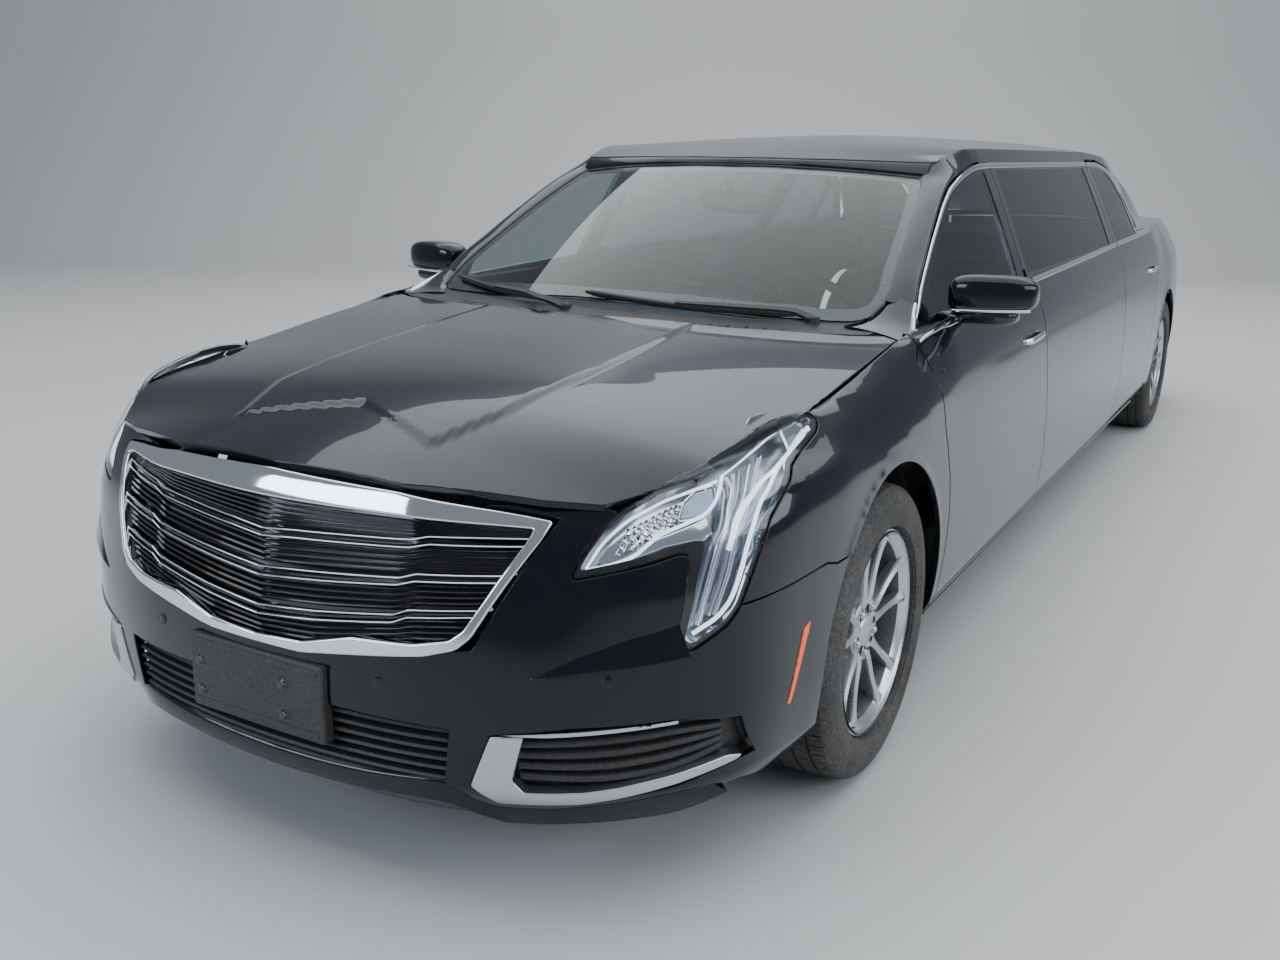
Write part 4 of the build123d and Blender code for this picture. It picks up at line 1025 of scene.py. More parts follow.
def screen_skin(x, v):
    """Windshield: v runs from 0 at its base to SCREEN_RUN at its top."""
    x, t = np.asarray(x, float), np.asarray(v, float) / SCREEN_RUN
    q = (x / 720) ** 2
    ly, lz = 205 + 224 * q, 1000 + 0 * q
    dy, dz = 1010 + 129 * q - ly, 1386 - 48 * q - lz
    size = np.hypot(dy, dz)
    rise = 56 * t * (1 - t)
    return np.stack([x, ly + dy * t - dz / size * rise, lz + dz * t + dy / size * rise], axis=-1)


def rear_screen_skin(x, v):
    """Rear window, the same way."""
    x, t = np.asarray(x, float), np.asarray(v, float) / REAR_SCREEN_RUN
    q = (x / 604) ** 2
    ly, lz = 4918 - 32 * q, 1106 - 8 * q
    dy, dz = 4276 + 59 * q - ly, 1402 - 70 * q - lz
    size = np.hypot(dy, dz)
    rise = 48 * t * (1 - t)
    return np.stack([x, ly + dy * t + dz / size * rise, lz + dz * t - dy / size * rise], axis=-1)


def quilt(rows, thick=5.0, shape=None, slot=0, facing=(1, 0, 0)):
    """Sheet through rows of points, with a thickness."""
    shape = shape or Shape()
    grid = np.array(rows, float)
    n = unit(np.cross(np.gradient(grid, axis=0), np.gradient(grid, axis=1)))
    if np.sum(n @ np.array(facing, float)) < 0:
        n = -n
    m, k = grid.shape[:2]
    points = np.concatenate([grid.reshape(-1, 3), (grid - n * thick).reshape(-1, 3)])
    nf, count = n.reshape(-1, 3), m * k
    faces, corners = [], []

    def add(face, normal):
        pts = points[list(face)]
        way = np.cross(pts[1] - pts[0], pts[2] - pts[0]) + np.cross(pts[2] - pts[0], pts[3] - pts[0])
        if way @ np.mean(normal, axis=0) < 0:
            face, normal = face[::-1], normal[::-1]
        faces.append(face)
        corners.append(normal)

    for a in range(m - 1):
        for b in range(k - 1):
            q = (a * k + b, a * k + b + 1, (a + 1) * k + b + 1, (a + 1) * k + b)
            add(q, [nf[i] for i in q])
            add(tuple(i + count for i in q), [-nf[i] for i in q])
    rim = []
    for row, inner in ((0, 1), (m - 1, m - 2)):
        rim += [((row, b), (row, b + 1), (inner, b)) for b in range(k - 1)]
    for column, inner in ((0, 1), (k - 1, k - 2)):
        rim += [((a, column), (a + 1, column), (a, inner)) for a in range(m - 1)]
    for one, two, inner in rim:
        i, q = one[0] * k + one[1], two[0] * k + two[1]
        way = unit(np.cross(points[q] - points[i], nf[i]))
        if way @ (grid[inner] - points[i]) > 0:
            way = -way
        add((i, q, q + count, i + count), [way] * 4)
    return shape.add(points, faces, corners, slot)


def bowed(first, control, last, count=9):
    """Rows between two lines, bowed toward a third."""
    t = np.linspace(0, 1, count)[:, None, None]
    first, control, last = (np.array(line, float)[None] for line in (first, control, last))
    return first * (1 - t) ** 2 + control * 2 * t * (1 - t) + last * t**2


def eased(points, count):
    """Smooth line through points, cut into even steps."""
    points = np.array(points, float)
    reach = np.concatenate([[0], np.cumsum(np.linalg.norm(np.diff(points, axis=0), axis=1))])
    track = Track([(a, *p) for a, p in zip(reach, points)])
    return track(np.linspace(0, reach[-1], count))


# Seam between the windshield pillar and the door, as y and z on the greenhouse
PILLAR_SEAM = [(512, 1022), (534, 1039), (596, 1084), (690, 1136), (782, 1189), (876, 1240), (969, 1288),
               (1074, 1333), (1132, 1350), (1193, 1364), (1250, 1377), (1300, 1386), (1350, 1394),
               (1400, 1398), (1440, 1401)]
PILLAR_GLASS = [(700, 110), (695, 171), (684, 256), (674, 330), (655, 490), (641, 590), (627, 690),
                (610, 800), (598, 860), (590, 890)]
PILLAR_ROOF = [(604, 1150, 1398), (617, 1190, 1413), (628, 1271, 1429), (638, 1360, 1438),
               (639.5, 1440, 1440)]


def build_pillars():
    glass = screen_skin(*np.array(PILLAR_GLASS, float).T) + (0, -1.5, 3.5)
    first = np.concatenate([glass, np.array(PILLAR_ROOF, float)])
    last = house_skin(*np.array(PILLAR_SEAM, float).T)
    control = last + (-4, -7, 18)
    control[-5:] = (first[-5:] + last[-5:]) / 2 + (4, 0, 1)
    first, control, last = (eased(line, 60) for line in (first, control, last))
    made = quilt([first + (-6, 4, -16), first + (-3, 0, -3), *bowed(first, control, last), last + (-1, 2, -3),
                  last + (-16, 4, -9)], 4.0, facing=(0.6, -0.5, 0.6))
    # Fender's top beside the foot of the windshield
    inner = eased([(640, 366, 996), (668, 404, 1003), (688, 452, 1020), (699, 500, 1044), (703, 530, 1060)],
                  14)
    outer = eased([(838, 322, 962), (824, 372, 971), (812, 420, 982), (796, 466, 1002), (779, 508, 1024)], 14)
    bulge = (inner + outer) / 2 + (26, -6, 14)
    quilt([inner + (-2, 4, -14), *bowed(inner, bulge, outer), outer + (-2, 2, -12)], 4.0, made,
          facing=(0.4, -0.4, 0.8))
    made.pair("pillar_skin_%s", "shell", [paint], "a_pillars")


def mould(shape, skin, points, width, high, out=0.0, step=14.0, slot=0, smooth=20.0, facing=(1, 0, 0),
          sink=3.0, taper=None, count=8):
    """Half-round moulding along a line on a skin; taper gives its size along the line."""
    line = rounded(points, smooth, closed=False) if smooth else points
    p, n = surface_path(skin, line, step, False, out, facing)
    scale = np.interp(np.linspace(0, 1, len(p)), *taper) if taper else None
    return sweep(p, n, half_round(width, high, count, sink), shape=shape, slot=slot, scale=scale)


FRONT_PANE = [(598, 1010), (612, 1064), (788, 1166), (975, 1264), (1078, 1309), (1194, 1340), (1300, 1361),
              (1400, 1373), (1464, 1376), (1398, 1052), (1395, 1010)]
REAR_PANE = [(3124, 1050), (3204, 1378), (3400, 1378), (3560, 1358), (3655, 1312), (3706, 1240), (3722, 1080),
             (3720, 1060)]
QUARTER_PANE = [(3740, 1086), (3724, 1264), (3792, 1254), (3876, 1186), (3972, 1102), (3968, 1086)]


def side_pane(line, corner, shape=None):
    return panel(house_skin, rounded(line, corner), thick=4, edge=1.0, step=60, edge_step=24, out=-2.5,
                 shape=shape)


def build_side_glass():
    side_pane(FRONT_PANE, 14).pair("front_door_pane_%s", "front_door_%s", [side_glass] * 2,
                                   "front_door_glass_%s")
    rear = side_pane(QUARTER_PANE, 10, side_pane(REAR_PANE, 14))
    rear.pair("rear_door_pane_%s", "rear_door_%s", [dark_glass] * 2, "rear_door_glass_%s")
    side_pane(grow(CENTRE_GLASS, 8), 14).pair("centre_pane_%s", "shell", [dark_glass] * 2, "centre_glass")


SCREEN_LINE = [(0, 62), (106, 62), (280, 46), (435, 26), (578, 14), (651, 10), (684, 30), (697, 100),
               (697, 171), (686, 256), (676, 330), (657, 490), (643, 590), (629, 690), (612, 800),
               (600, 860), (592, 889), (560, 890), (405, 888), (231, 886), (0, 884)]


def build_screens():
    whole = mirrored(SCREEN_LINE)
    ahead = (0, -1, 1)
    pane = panel(screen_skin, rounded(whole, 14), thick=5, edge=1.0, step=50, edge_step=22, facing=ahead)
    pane.piece("windshield_pane", "shell", [screen_glass] * 2, ["windshield"])
    hole = [(0, 116), (200, 112), (400, 94), (560, 74), (640, 74), (668, 100), (668, 171), (656, 256),
            (646, 330), (627, 490), (613, 590), (598, 690), (582, 790), (564, 838), (540, 852), (405, 850),
            (231, 846), (0, 844)]
    border = panel(screen_skin, grow(whole, 4), [rounded(mirrored(hole), 26)], thick=2, edge=0.4, step=40,
                   edge_step=22, facing=ahead, out=-6.5)
    border.piece("windshield_border", "shell", [lamp_black] * 2)
    seal = Shape()
    for line in (SCREEN_LINE[6:17], [(-x, v) for x, v in SCREEN_LINE[6:17]]):
        mould(seal, screen_skin, line, 7, 3, 0.5, 16, smooth=0, facing=ahead, sink=4, count=6)
    top = SCREEN_LINE[16:]
    p, n = surface_path(screen_skin, top + [(-x, v) for x, v in reversed(top[:-1])], 20, False, 1.0, ahead)
    sweep(p + (0, 4, 6), n, [(-7, -10), (5, -10), (5, -3), (-3, -3), (-7, -4)], shape=seal, sharp=30)
    seal.piece("windshield_seal", "shell", [rubber])
    x = np.linspace(-602, 602, 61)
    edge = np.interp(np.abs(x), [0, 240, 420, 560, 602], [1012, 1032, 1074, 1118, 1136])
    roof = crown_skin(ROOF)(x, edge)
    glass = screen_skin(x, np.interp(np.abs(x), [0, 231, 405, 560, 602], [889, 891, 893, 895, 896]))
    rows = [roof + (0, 14, -4), roof + (0, 1, -2.5), roof + (0, -5, -5), roof * 0.6 + glass * 0.4
            + (0, -6, 1), roof * 0.25 + glass * 0.75 + (0, -5, 2), glass + (0, -2, 2), glass + (0, 8, -8)]
    quilt(rows, 3.0, facing=ahead).piece("roof_header", "shell", [paint])
    rear_line = [(0, 20), (400, 22), (560, 30), (588, 60), (572, 640), (550, 672), (400, 676), (0, 676)]
    back = panel(rear_screen_skin, rounded(mirrored(rear_line), 22), thick=5, edge=1.0, step=60, edge_step=24,
                 facing=(0, 1, 1))
    back.piece("rear_window_pane", "shell", [dark_glass] * 2, ["rear_window"])


def build_bright_trim():
    front, rear, body = Shape(), Shape(), Shape()
    line = [(478, 984), (540, 1028), (604, 1074), (788, 1177), (975, 1275), (1079, 1319), (1195, 1350),
            (1300, 1371), (1400, 1384), (1552, 1388)]
    mould(front, house_skin, line, 13, 4, step=16, smooth=40,
          taper=([0, 0.1, 0.55, 0.7, 1], [0.8, 0.9, 1.0, 1.3, 1.5]))
    mould(front, side_skin, [(520, 992), (700, 1000), (1100, 1017), (1492, 1029)], 18, 4.5, step=20, smooth=0,
          taper=([0, 0.05, 1], [0.3, 0.8, 1.0]), out=1)
    # Sail strip down the front edge of the door, then the one at its foot
    sail = [(828, 350, 957), (818, 372, 966), (808, 404, 984), (794, 450, 1006), (780, 488, 1022),
            (768, 534, 1042)]
    sweep(eased(sail, 20), (0.7, -0.6, 0.3), half_round(11, 5, 8, 6), shape=front,
          scale=np.interp(np.linspace(0, 1, 20), [0, 0.3, 1], [0.5, 1, 1]))
    foot = [(829, 352, 957), (836, 378, 972), (842, 420, 984), (846, 470, 990), (847, 524, 993)]
    sweep(eased(foot, 14), (0.9, -0.2, 0.4), half_round(10, 4, 8, 6), shape=front,
          scale=np.interp(np.linspace(0, 1, 14), [0, 0.4, 1], [0.4, 0.9, 1]))
    front.pair("front_door_bright_%s", "front_door_%s", [chrome])
    rim = [(3176, 1389), (3432, 1389), (3640, 1360), (3798, 1283), (3897, 1198), (4022, 1086)]
    mould(rear, house_skin, rim, 17, 4, step=16, smooth=60, taper=([0, 0.6, 1], [1.1, 1.0, 0.8]))
    mould(rear, side_skin, [(3086, 1058.5), (3600, 1066), (4048, 1076)], 19, 4.5, step=30, smooth=0, out=1,
          taper=([0, 0.9, 1], [1, 1, 0.5]))
    rear.pair("rear_door_bright_%s", "rear_door_%s", [chrome])
    mould(body, house_skin, [(1562, 1388), (3164, 1390)], 19, 4, step=40, smooth=0)
    mould(body, side_skin, [(1512, 1029.5), (3072, 1058)], 19, 4.5, step=40, smooth=0, out=1)
    body.pair("centre_bright_%s", "shell", [chrome])


def egg(centre, size, power=2.6, axes=((1, 0, 0), (0, 1, 0), (0, 0, 1)), shape=None, slot=0, bend=None):
    """Rounded body between an egg and a block; size is its three half lengths along the axes."""
    shape = shape or Shape()
    axes, centre, size = np.array(axes, float), np.array(centre), np.array(size)
    rows, k = 28, 40
    grid = np.zeros((rows + 1, k, 3))
    for i in range(rows + 1):
        a = math.pi * (i / rows - 0.5)
        for j in range(k):
            b = 2 * math.pi * j / k
            raw = (math.cos(a) * math.cos(b), math.cos(a) * math.sin(b), math.sin(a))
            q = np.array([math.copysign(abs(c) ** (2 / power), c) for c in raw])
            local = q / max((np.sum(np.abs(q) ** power)) ** (1 / power), TINY) * size
            grid[i, j] = centre + np.array(bend(*local) if bend else local) @ axes
    n = np.cross(np.roll(grid, -1, axis=1) - np.roll(grid, 1, axis=1), np.gradient(grid, axis=0))
    length = np.linalg.norm(n, axis=2)[:, :, None]
    out = grid - centre
    n = np.where(length > 1e-6, n / np.maximum(length, TINY), out)
    if np.sum(n * out) < 0:
        n = -n
    faces = [(i * k + b, i * k + (b + 1) % k, (i + 1) * k + (b + 1) % k, (i + 1) * k + b)
             for i in range(rows) for b in range(k)]
    flat, nf = grid.reshape(-1, 3), n.reshape(-1, 3)
    f = faces[len(faces) // 2]
    if np.cross(flat[f[1]] - flat[f[0]], flat[f[2]] - flat[f[0]]) @ nf[f[0]] < 0:
        faces = [q[::-1] for q in faces]
    return shape.add(flat, faces, nf, slot)


def build_mirrors():
    def bend(a, b, c):
        # a runs outward, b to the front, c up
        t = (a + 110) / 220
        return a, b * (1 - 0.25 * t) - 26 * t * t, c * (1.02 - 0.16 * t) + 6 * t

    ahead = ((1, 0, 0), (0, -1, 0), (0, 0, 1))
    made = egg((928, 680, 1062), (112, 62, 56), 3.4, ahead, bend=bend)
    strip = [(828 + 212 * t, 619 + 10 * t + 36 * t**3, 1024 + 4 * t + 3 * t**2)
             for t in np.linspace(0.06, 0.96, 22)]
    sweep(strip, (0, -0.9, 0.2), half_round(7, 4, 8, 8), shape=made, slot=1)
    egg((912, 690, 1010), (86, 48, 24), 3.0, ahead, made, 2)
    egg((838, 690, 1000), (52, 38, 17), 3.0, ahead, made, 2)
    low, high = [(850, 742, 1030), (1024, 735, 1036)], [(850, 742, 1096), (1020, 735, 1098)]
    rows = [[np.array(a) * (1 - t) + np.array(b) * t for t in np.linspace(0, 1, 8)] for a, b in (low, high)]
    quilt(rows, 4, made, 3, (0, 1, 0))
    made.pair("mirror_%s", "front_door_%s", [paint, chrome, gloss_black, mirror_glass])


def build_handles():
    for which, (y0, y1, za, zb) in {"front": (1250, 1442, 866, 872), "rear": (3762, 3948, 896, 902)}.items():
        line = [(y, za + (zb - za) * (y - y0) / (y1 - y0)) for y in np.linspace(y0, y1, 22)]
        p, n = surface_path(side_skin, line, 500, False)
        t = np.linspace(0, 1, len(p))
        lift = 17 * np.minimum(1, np.minimum(t / 0.14, (1 - t) / 0.1)) ** 0.5 - 2
        section = [(11 * math.cos(a), 6.5 * math.sin(a)) for a in np.linspace(0, 2 * math.pi, 16)[:-1]]
        made = sweep(p + n * lift[:, None], n, section, scale=0.72 + 0.28 * np.sin(np.pi * t) ** 0.6)
        cup = [(y0 + 30, za - 20), (y0 + 24, za), (y0 + 34, za + 22), (y1 - 40, zb + 22), (y1 - 24, zb),
               (y1 - 40, zb - 20)]
        hollow = panel(side_skin, rounded(cup, 14), thick=2, edge=0.5, step=16, edge_step=10, out=0.6)
        hollow.slots = [1] * len(hollow.slots)
        made.merged(hollow).pair(which + "_handle_%s", which + "_door_%s", [chrome, gloss_black])


# Wheels
TYRE_SIDE = [(905, 236.0), (888, 236.5), (886.5, 243), (891, 245), (900, 246.5), (905, 250), (907.5, 251.5),
             (908.6, 250.5), (911, 256), (913, 266), (914.2, 275), (914.9, 276.2), (915, 290), (914, 303),
             (913, 304), (911.4, 313), (908, 323), (903, 331), (897, 337), (892, 341)]
TREAD = [(892, 341), (884, 343.5), (876, 345), (866, 346), (862, 346.3), (861.5, 339), (853.5, 339),
         (853, 346.8), (838, 347.3), (822, 347.6), (821.5, 340), (812.5, 340), (812, 347.8), (800, 348),
         (780, 348), (768, 347.8), (767.5, 340), (758.5, 340), (758, 347.6), (742, 347.3), (727, 346.8),
         (726.5, 339), (718.5, 339), (718, 346.3), (714, 346), (704, 345), (696, 343.5), (688, 341)]
PITCHES = 64


def ring_surface(line, turns, radius, shape, slot=0):
    """Turned surface whose radius may change with the angle: flat facets at its breaks."""
    grid = np.array([[(a, *radius(a, r, turn, kind)) for turn, kind in turns] for a, r in line])
    m, k = grid.shape[:2]
    pts = grid.reshape(-1, 3)
    faces, corners = [], []
    for i in range(m - 1):
        for j in range(k):
            q = (i * k + j, (i + 1) * k + j, (i + 1) * k + (j + 1) % k, i * k + (j + 1) % k)
            n = unit(np.cross(pts[q[2]] - pts[q[0]], pts[q[3]] - pts[q[1]]))
            mid = pts[list(q)].mean(axis=0) * (0, 1, 1)
            if n @ mid < -1e-6 * np.linalg.norm(mid) and abs(n[0]) < 0.9:
                q, n = q[::-1], -n
            faces.append(q)
            corners.append([n] * 4)
    return shape.add(pts + HUB, faces, corners, slot)


def tyre_shape():
    """Tyre of the left front wheel: its two sidewalls, its bore and a tread with cuts across."""
    made = Shape()
    lathe(TYRE_SIDE[::-1], HUB, 128, made, 0, 30)
    lathe([(2 * WHEEL_MIDDLE - a, r) for a, r in TYRE_SIDE], HUB, 128, made, 0, 30)
    lathe([(905, 236), (675, 236)], HUB, 96, made, 0, 30)
    # Each pitch of the tread: where a kind of cut begins and ends; 1 is a deep cut, 2 a shallow one
    marks = ((0.0, 1), (0.09, 1), (0.11, 0), (0.45, 0), (0.47, 2), (0.5, 2), (0.52, 0), (0.98, 0))
    turns = [((n + part) * 2 * math.pi / PITCHES, kind) for n in range(PITCHES) for part, kind in marks]

    def radius(a, r, turn, kind):
        off = a - WHEEL_MIDDLE
        edge = abs(off)
        deep = 0.0
        if r > 341.5:
            if kind == 1 and (edge > 73 or 32 < edge < 62):
                deep = 5.5
            if kind == 2 and (edge < 62 or edge > 84):
                deep = 3.0
        t = turn + 0.0011 * off + 0.020 * math.sin(off / 26)
        return (r - deep) * math.cos(t), (r - deep) * math.sin(t)

    return ring_surface(TREAD, turns, radius, made)


def spoke(shape, angle):
    """One slim spoke with a raised ridge, along the radius at an angle."""
    stations = [(62, 33, 868, 34), (80, 25, 871, 32), (105, 21.5, 872.5, 29), (135, 20, 874, 27),
                (165, 20, 877, 26), (192, 22, 881.5, 25), (210, 27, 886, 24), (222, 36, 888.5, 22)]
    rows = []
    for r, w, a, d in stations:
        h = w / 2
        rows.append([(a - d, -h * 0.9, r), (a - 7, -h, r), (a - 1.5, -h * 0.92, r), (a + 3.5, -h * 0.10, r),
                     (a + 3.3, h * 0.16, r), (a - 1.5, h * 0.94, r), (a - 7, h, r), (a - d, h * 0.9, r)])
    c, sn = math.cos(angle), math.sin(angle)
    grid = np.array(rows)
    grid = np.array([eased(grid[:, k], 16) for k in range(grid.shape[1])]).transpose(1, 0, 2)
    y, z = grid[:, :, 1] * c + grid[:, :, 2] * sn, -grid[:, :, 1] * sn + grid[:, :, 2] * c
    pts = np.stack([grid[:, :, 0], y, z + WHEEL_Z], axis=-1)
    m, k = pts.shape[:2]
    flat = pts.reshape(-1, 3)
    faces, corners = [], []
    for i in range(m - 1):
        middle = pts[i:i + 2].mean(axis=(0, 1))
        for j in range(k):
            q = (i * k + j, i * k + (j + 1) % k, (i + 1) * k + (j + 1) % k, (i + 1) * k + j)
            n = unit(np.cross(flat[q[2]] - flat[q[0]], flat[q[3]] - flat[q[1]]))
            if n @ (flat[list(q)].mean(axis=0) - middle) < 0:
                q, n = q[::-1], -n
            faces.append(q)
            corners.append([n] * 4)
    shape.add(flat, faces, corners)


def rim_shape():
    """Rim of the left front wheel: slots are silver, dark barrel, gloss black and nuts."""
    made = Shape()
    lip = [(700, 214), (876, 214), (884, 222), (888, 229), (892, 233), (896, 235), (897.5, 238), (897, 241),
           (893, 242), (889, 240.5), (886, 236), (884, 232), (700, 232)]
    lathe(lip[::-1] + [lip[-1]], HUB, 128, made, 1, 32)
    face = [(876, 214), (884, 221), (888.5, 229), (892, 233), (896.5, 235.5), (898, 238.5), (897, 241.5),
            (893, 242)]
    lathe([(a + 0.3, r) for a, r in reversed(face)], HUB, 128, made, 0, 40)
    barrel = [(876, 213.5), (860, 206), (820, 203), (760, 203), (700, 212), (676, 214)]
    lathe(barrel, HUB, 128, made, 1, 40)
    for n in range(5):
        for side in (-1, 1):
            spoke(made, 2 * math.pi * n / 5 + side * math.radians(13.5))
    hub = [(838, 70), (862, 76), (867, 74), (868.5, 70), (868, 62), (864.5, 54), (864, 44), (866, 40),
           (870, 38), (871.5, 36)]
    lathe(hub, HUB, 96, made, 0, 28)
    cap = [(871.5, 36), (872.5, 34.5), (872, 33), (872.6, 31.5), (873.8, 22), (874.4, 10), (874.5, 0)]
    lathe(cap, HUB, 64, made, 0, 20)
    for n in range(5):
        turn = 2 * math.pi * (n + 0.5) / 5
        place = (0, 57 * math.sin(turn), WHEEL_Z + 57 * math.cos(turn))
        lathe([(856, 9), (856, 13.5), (866, 14.8), (868.5, 15.5)], place, 28, made, 2, 30)
        lathe([(869.3, 17.5), (870, 16.6), (868.5, 15.4)], place, 28, made, 0, 60)
        lathe([(856, 9.5), (873, 9.5), (876, 8), (878, 5), (878.5, 0)], place, 6, made, 3, 50)
    return made


def brake_shape():
    return lathe([(812, 60), (812, 160), (814, 162), (834, 162), (836, 160), (836, 92), (846, 90), (848, 84),
                  (848, 60)], HUB, 96, sharp=30)


def build_wheels():
    parts = ((tyre_shape(), "tyre_", "_tread", [rubber]),
             (rim_shape(), "rim_", "_face", [silver, wheel_dark, gloss_black, satin]),
             (brake_shape(), "brake_disc_", "", [brake]))
    for end, y in (("front", 0), ("rear", WHEELBASE)):
        for shape, kind, more, materials in parts:
            node = kind + end + "_%s"
            shape.laid(origin=(0, y, 0)).pair(node + more, "wheel_" + end + "_%s", materials,
                                              node if more else None)


def build_quarters():
    outline = [(3900, 190), (5460, 190), (5460, 1240), (3900, 1240)]
    bumper = [(4903, 100), (5600, 100), (5600, 648), (5150, 634), (4903, 634)]
    lamp = [(5300, 655), (5600, 655), (5600, 985), (5360, 985)]
    made = panel(side_skin, outline, [side_arch(WHEELBASE), grow(REAR_DOOR_LOW, SEAM), bumper, lamp],
                 thick=16, step=24)
    panel(house_skin, C_PILLAR, [grow(REAR_FRAME, SEAM)], thick=20, step=20, shape=made)
    made.both_sides().piece("quarter_skins", "shell", [paint, plastic], ["quarter_panels"])


def tail_side(u, z):
    """Tail's skin, brought out to meet the body side in front of it."""
    p = tail_full(u, z)
    side = side_skin(np.minimum(p[:, 1], SIDE_END), p[:, 2])
    mix = 1 - smooth_step(*TAIL_BLEND, p[:, 1])
    width = np.abs(p[:, 0])
    p[:, 0] = np.where(p[:, 0] < 0, -1, 1) * (width + (side[:, 0] - width) * mix)
    return p


def build_trunk():
    lid = panel(crown_skin(DECK), mirrored(rounded(TRUNK_EDGE, 20, closed=False)), thick=12, edge=4, step=40,
                facing=(0, 0, 1))
    back = on_tail(divide([(0, 668), (590, 668), (590, 1040), (0, 1052)], 30, closed=False))
    panel(tail_full, rounded(mirrored(back), 10), thick=14, edge=4, step=36, facing=(0, 1, 0), shape=lid)
    handle = whole_line(on_tail([(0, 842), (180, 846), (330, 858)]))
    mould(lid, tail_full, handle, 26, 9, 1, 20, 2, 0, (0, 1, 0), 4)
    for x in (-564, 564):
        arc = [(x, 4903 + 64 * math.cos(a), 1118 + 64 * math.sin(a))
               for a in np.radians(np.linspace(-158, -40, 16))]
        sweep(arc, (1, 0, 0), bar(12, 16), shape=lid, slot=1, sharp=30)
    lid.piece("trunk_skin", "trunk_lid", [paint, plastic, chrome], ["trunk_lid"])


def build_rear():
    low = on_tail(divide([(0, 205), (620, 205), (850, 240)], 30, closed=False))
    side = on_tail([(5200, 240), (4700, 205), (4700, 630), (5150, 630), (5300, 648)], "-y")
    made = panel(tail_side, mirrored(low + side + [(0, 648)]), thick=14, step=30, facing=(0, 1, 0))
    made.piece("rear_bumper_skin", "shell", [paint, plastic], ["rear_bumper"])
    build_trunk()
    # Corners between the deck, the lamps and the quarter panels
    run = np.linspace(on_tail([(606, 1000)])[0][0], on_tail([(5440, 1000)], "-y")[0][0], 16)
    rim = eased([(606, 5598, 0), (640, 5562, 0), (656, 5530, 0), (668, 5440, 0)], 16)
    rim[:, 2] = crown_skin(DECK)(rim[:, 0], rim[:, 1])[:, 2] - 1
    rows = [tail_side(run, np.full(16, z)) for z in (980, 1000, 1020, 1038)]
    rows += [rows[-1] * 0.8 + rim * 0.2 + (0, 0, 5), rows[-1] * 0.4 + rim * 0.6 + (0, 0, 5), rim,
             rim + (-2, 0, -14)]
    quilt(rows, 4.0, facing=(0.5, 0.6, 0.6)).both_sides().piece("tail_corners", "shell", [paint])
    line = on_tail(divide([(610, 668), (610, 972)], 20, closed=False))[::-1]
    line += on_tail(divide([(5310, 665), (5368, 975)], 20, closed=False), "-y")
    line = rounded(line, 10)
    outward = (0.5, 1, 0)
    lamp = panel(tail_side, line, thick=4, edge=1.5, step=22, facing=outward)
    panel(tail_side, grow(line, -3), thick=4, edge=1.0, step=26, facing=outward, out=-26, shape=lamp)
    for place in (0.25, 0.62):
        ends = on_tail([(640 + 120 * place, 690), (640 + 110 * place, 820), (640 + 96 * place, 955)])
        mould(lamp, tail_side, ends, 16, 8, -12, 16, 2, 20, outward, 4, count=6)
    lamp.both_sides().piece("tail_lamp_lenses", "shell", [tail_red, lamp_black, light_red], ["tail_lamps"])


def build_hinges():
    made = Shape()
    for edge, levels in ((352.0, (811, 891)), (3080.0, (431, 811))):
        for z in levels:
            arc = [(927 + 76 * math.cos(a), edge + 76 * math.sin(a), z)
                   for a in np.radians(np.linspace(119, 190, 14))]
            sweep(arc, (0, 0, 1), bar(12, 22), shape=made, sharp=30)
            x, y = arc[-1][:2]
            lathe([(z - 15, 0), (z - 15, 9), (z + 15, 9), (z + 15, 0)], (x, y, 0), 20, made, 0, 30, "z")
            soft_block((x - 26, y - 26, z - 17), (x + 10, y - 6, z + 17), 2, 1, made)
    made.both_sides().piece("hinge_straps", "shell", [steel], ["door_hinges"])


def side_block(low, high, sign, edge, segments, shape, lean=0.0):
    """Block on the left (sign 1) or the right (-1), leaned backward: y grows with height."""
    x0, x1 = sorted((low[0] * sign, high[0] * sign))

    def bend(x, y, z):
        return (x, y + (z - low[2]) * lean, z)

    return soft_block((x0, *low[1:]), (x1, *high[1:]), edge, segments, shape, 0, bend if lean else None)


def build_boot():
    made = Shape()
    for low, high, edge, segments, slot in (
            ((-640, 4020, 212), (640, 4050, 1010), 3, 1, 0), ((-560, 4050, 330), (560, 5556, 350), 3, 1, 0),
            ((-554, 4056, 350), (554, 5550, 358), 4, 2, 1), ((-640, 5556, 330), (640, 5576, 650), 3, 1, 0)):
        soft_block(low, high, edge, segments, made, slot)
    for sign in (-1, 1):
        side_block((560, 4130, 330), (640, 4420, 350), sign, 2, 1, made)
        side_block((640, 5540, 330), (690, 5574, 880), sign, 2, 1, made)
        side_block((560, 4960, 330), (858, 4980, 760), sign, 2, 1, made)
    for x in np.linspace(-480, 480, 7):
        soft_block((x - 10, 4050, 420), (x + 10, 4058, 960), 3, 1, made)
    made.piece("boot_lining", "shell", [steel, cloth], ["boot_floor"])
    wall = soft_block((-440, 310, 186), (440, 345, 776), 3, 1)
    soft_block((-866, 310, 775), (866, 345, 888), 3, 1, wall)
    soft_block((-700, 310, 886), (700, 345, 950), 3, 1, wall)
    soft_block((-430, 345, 200), (430, 360, 900), 6, 2, wall, 1)
    wall.piece("bulkhead_wall", "shell", [steel, trim], ["bulkhead"])


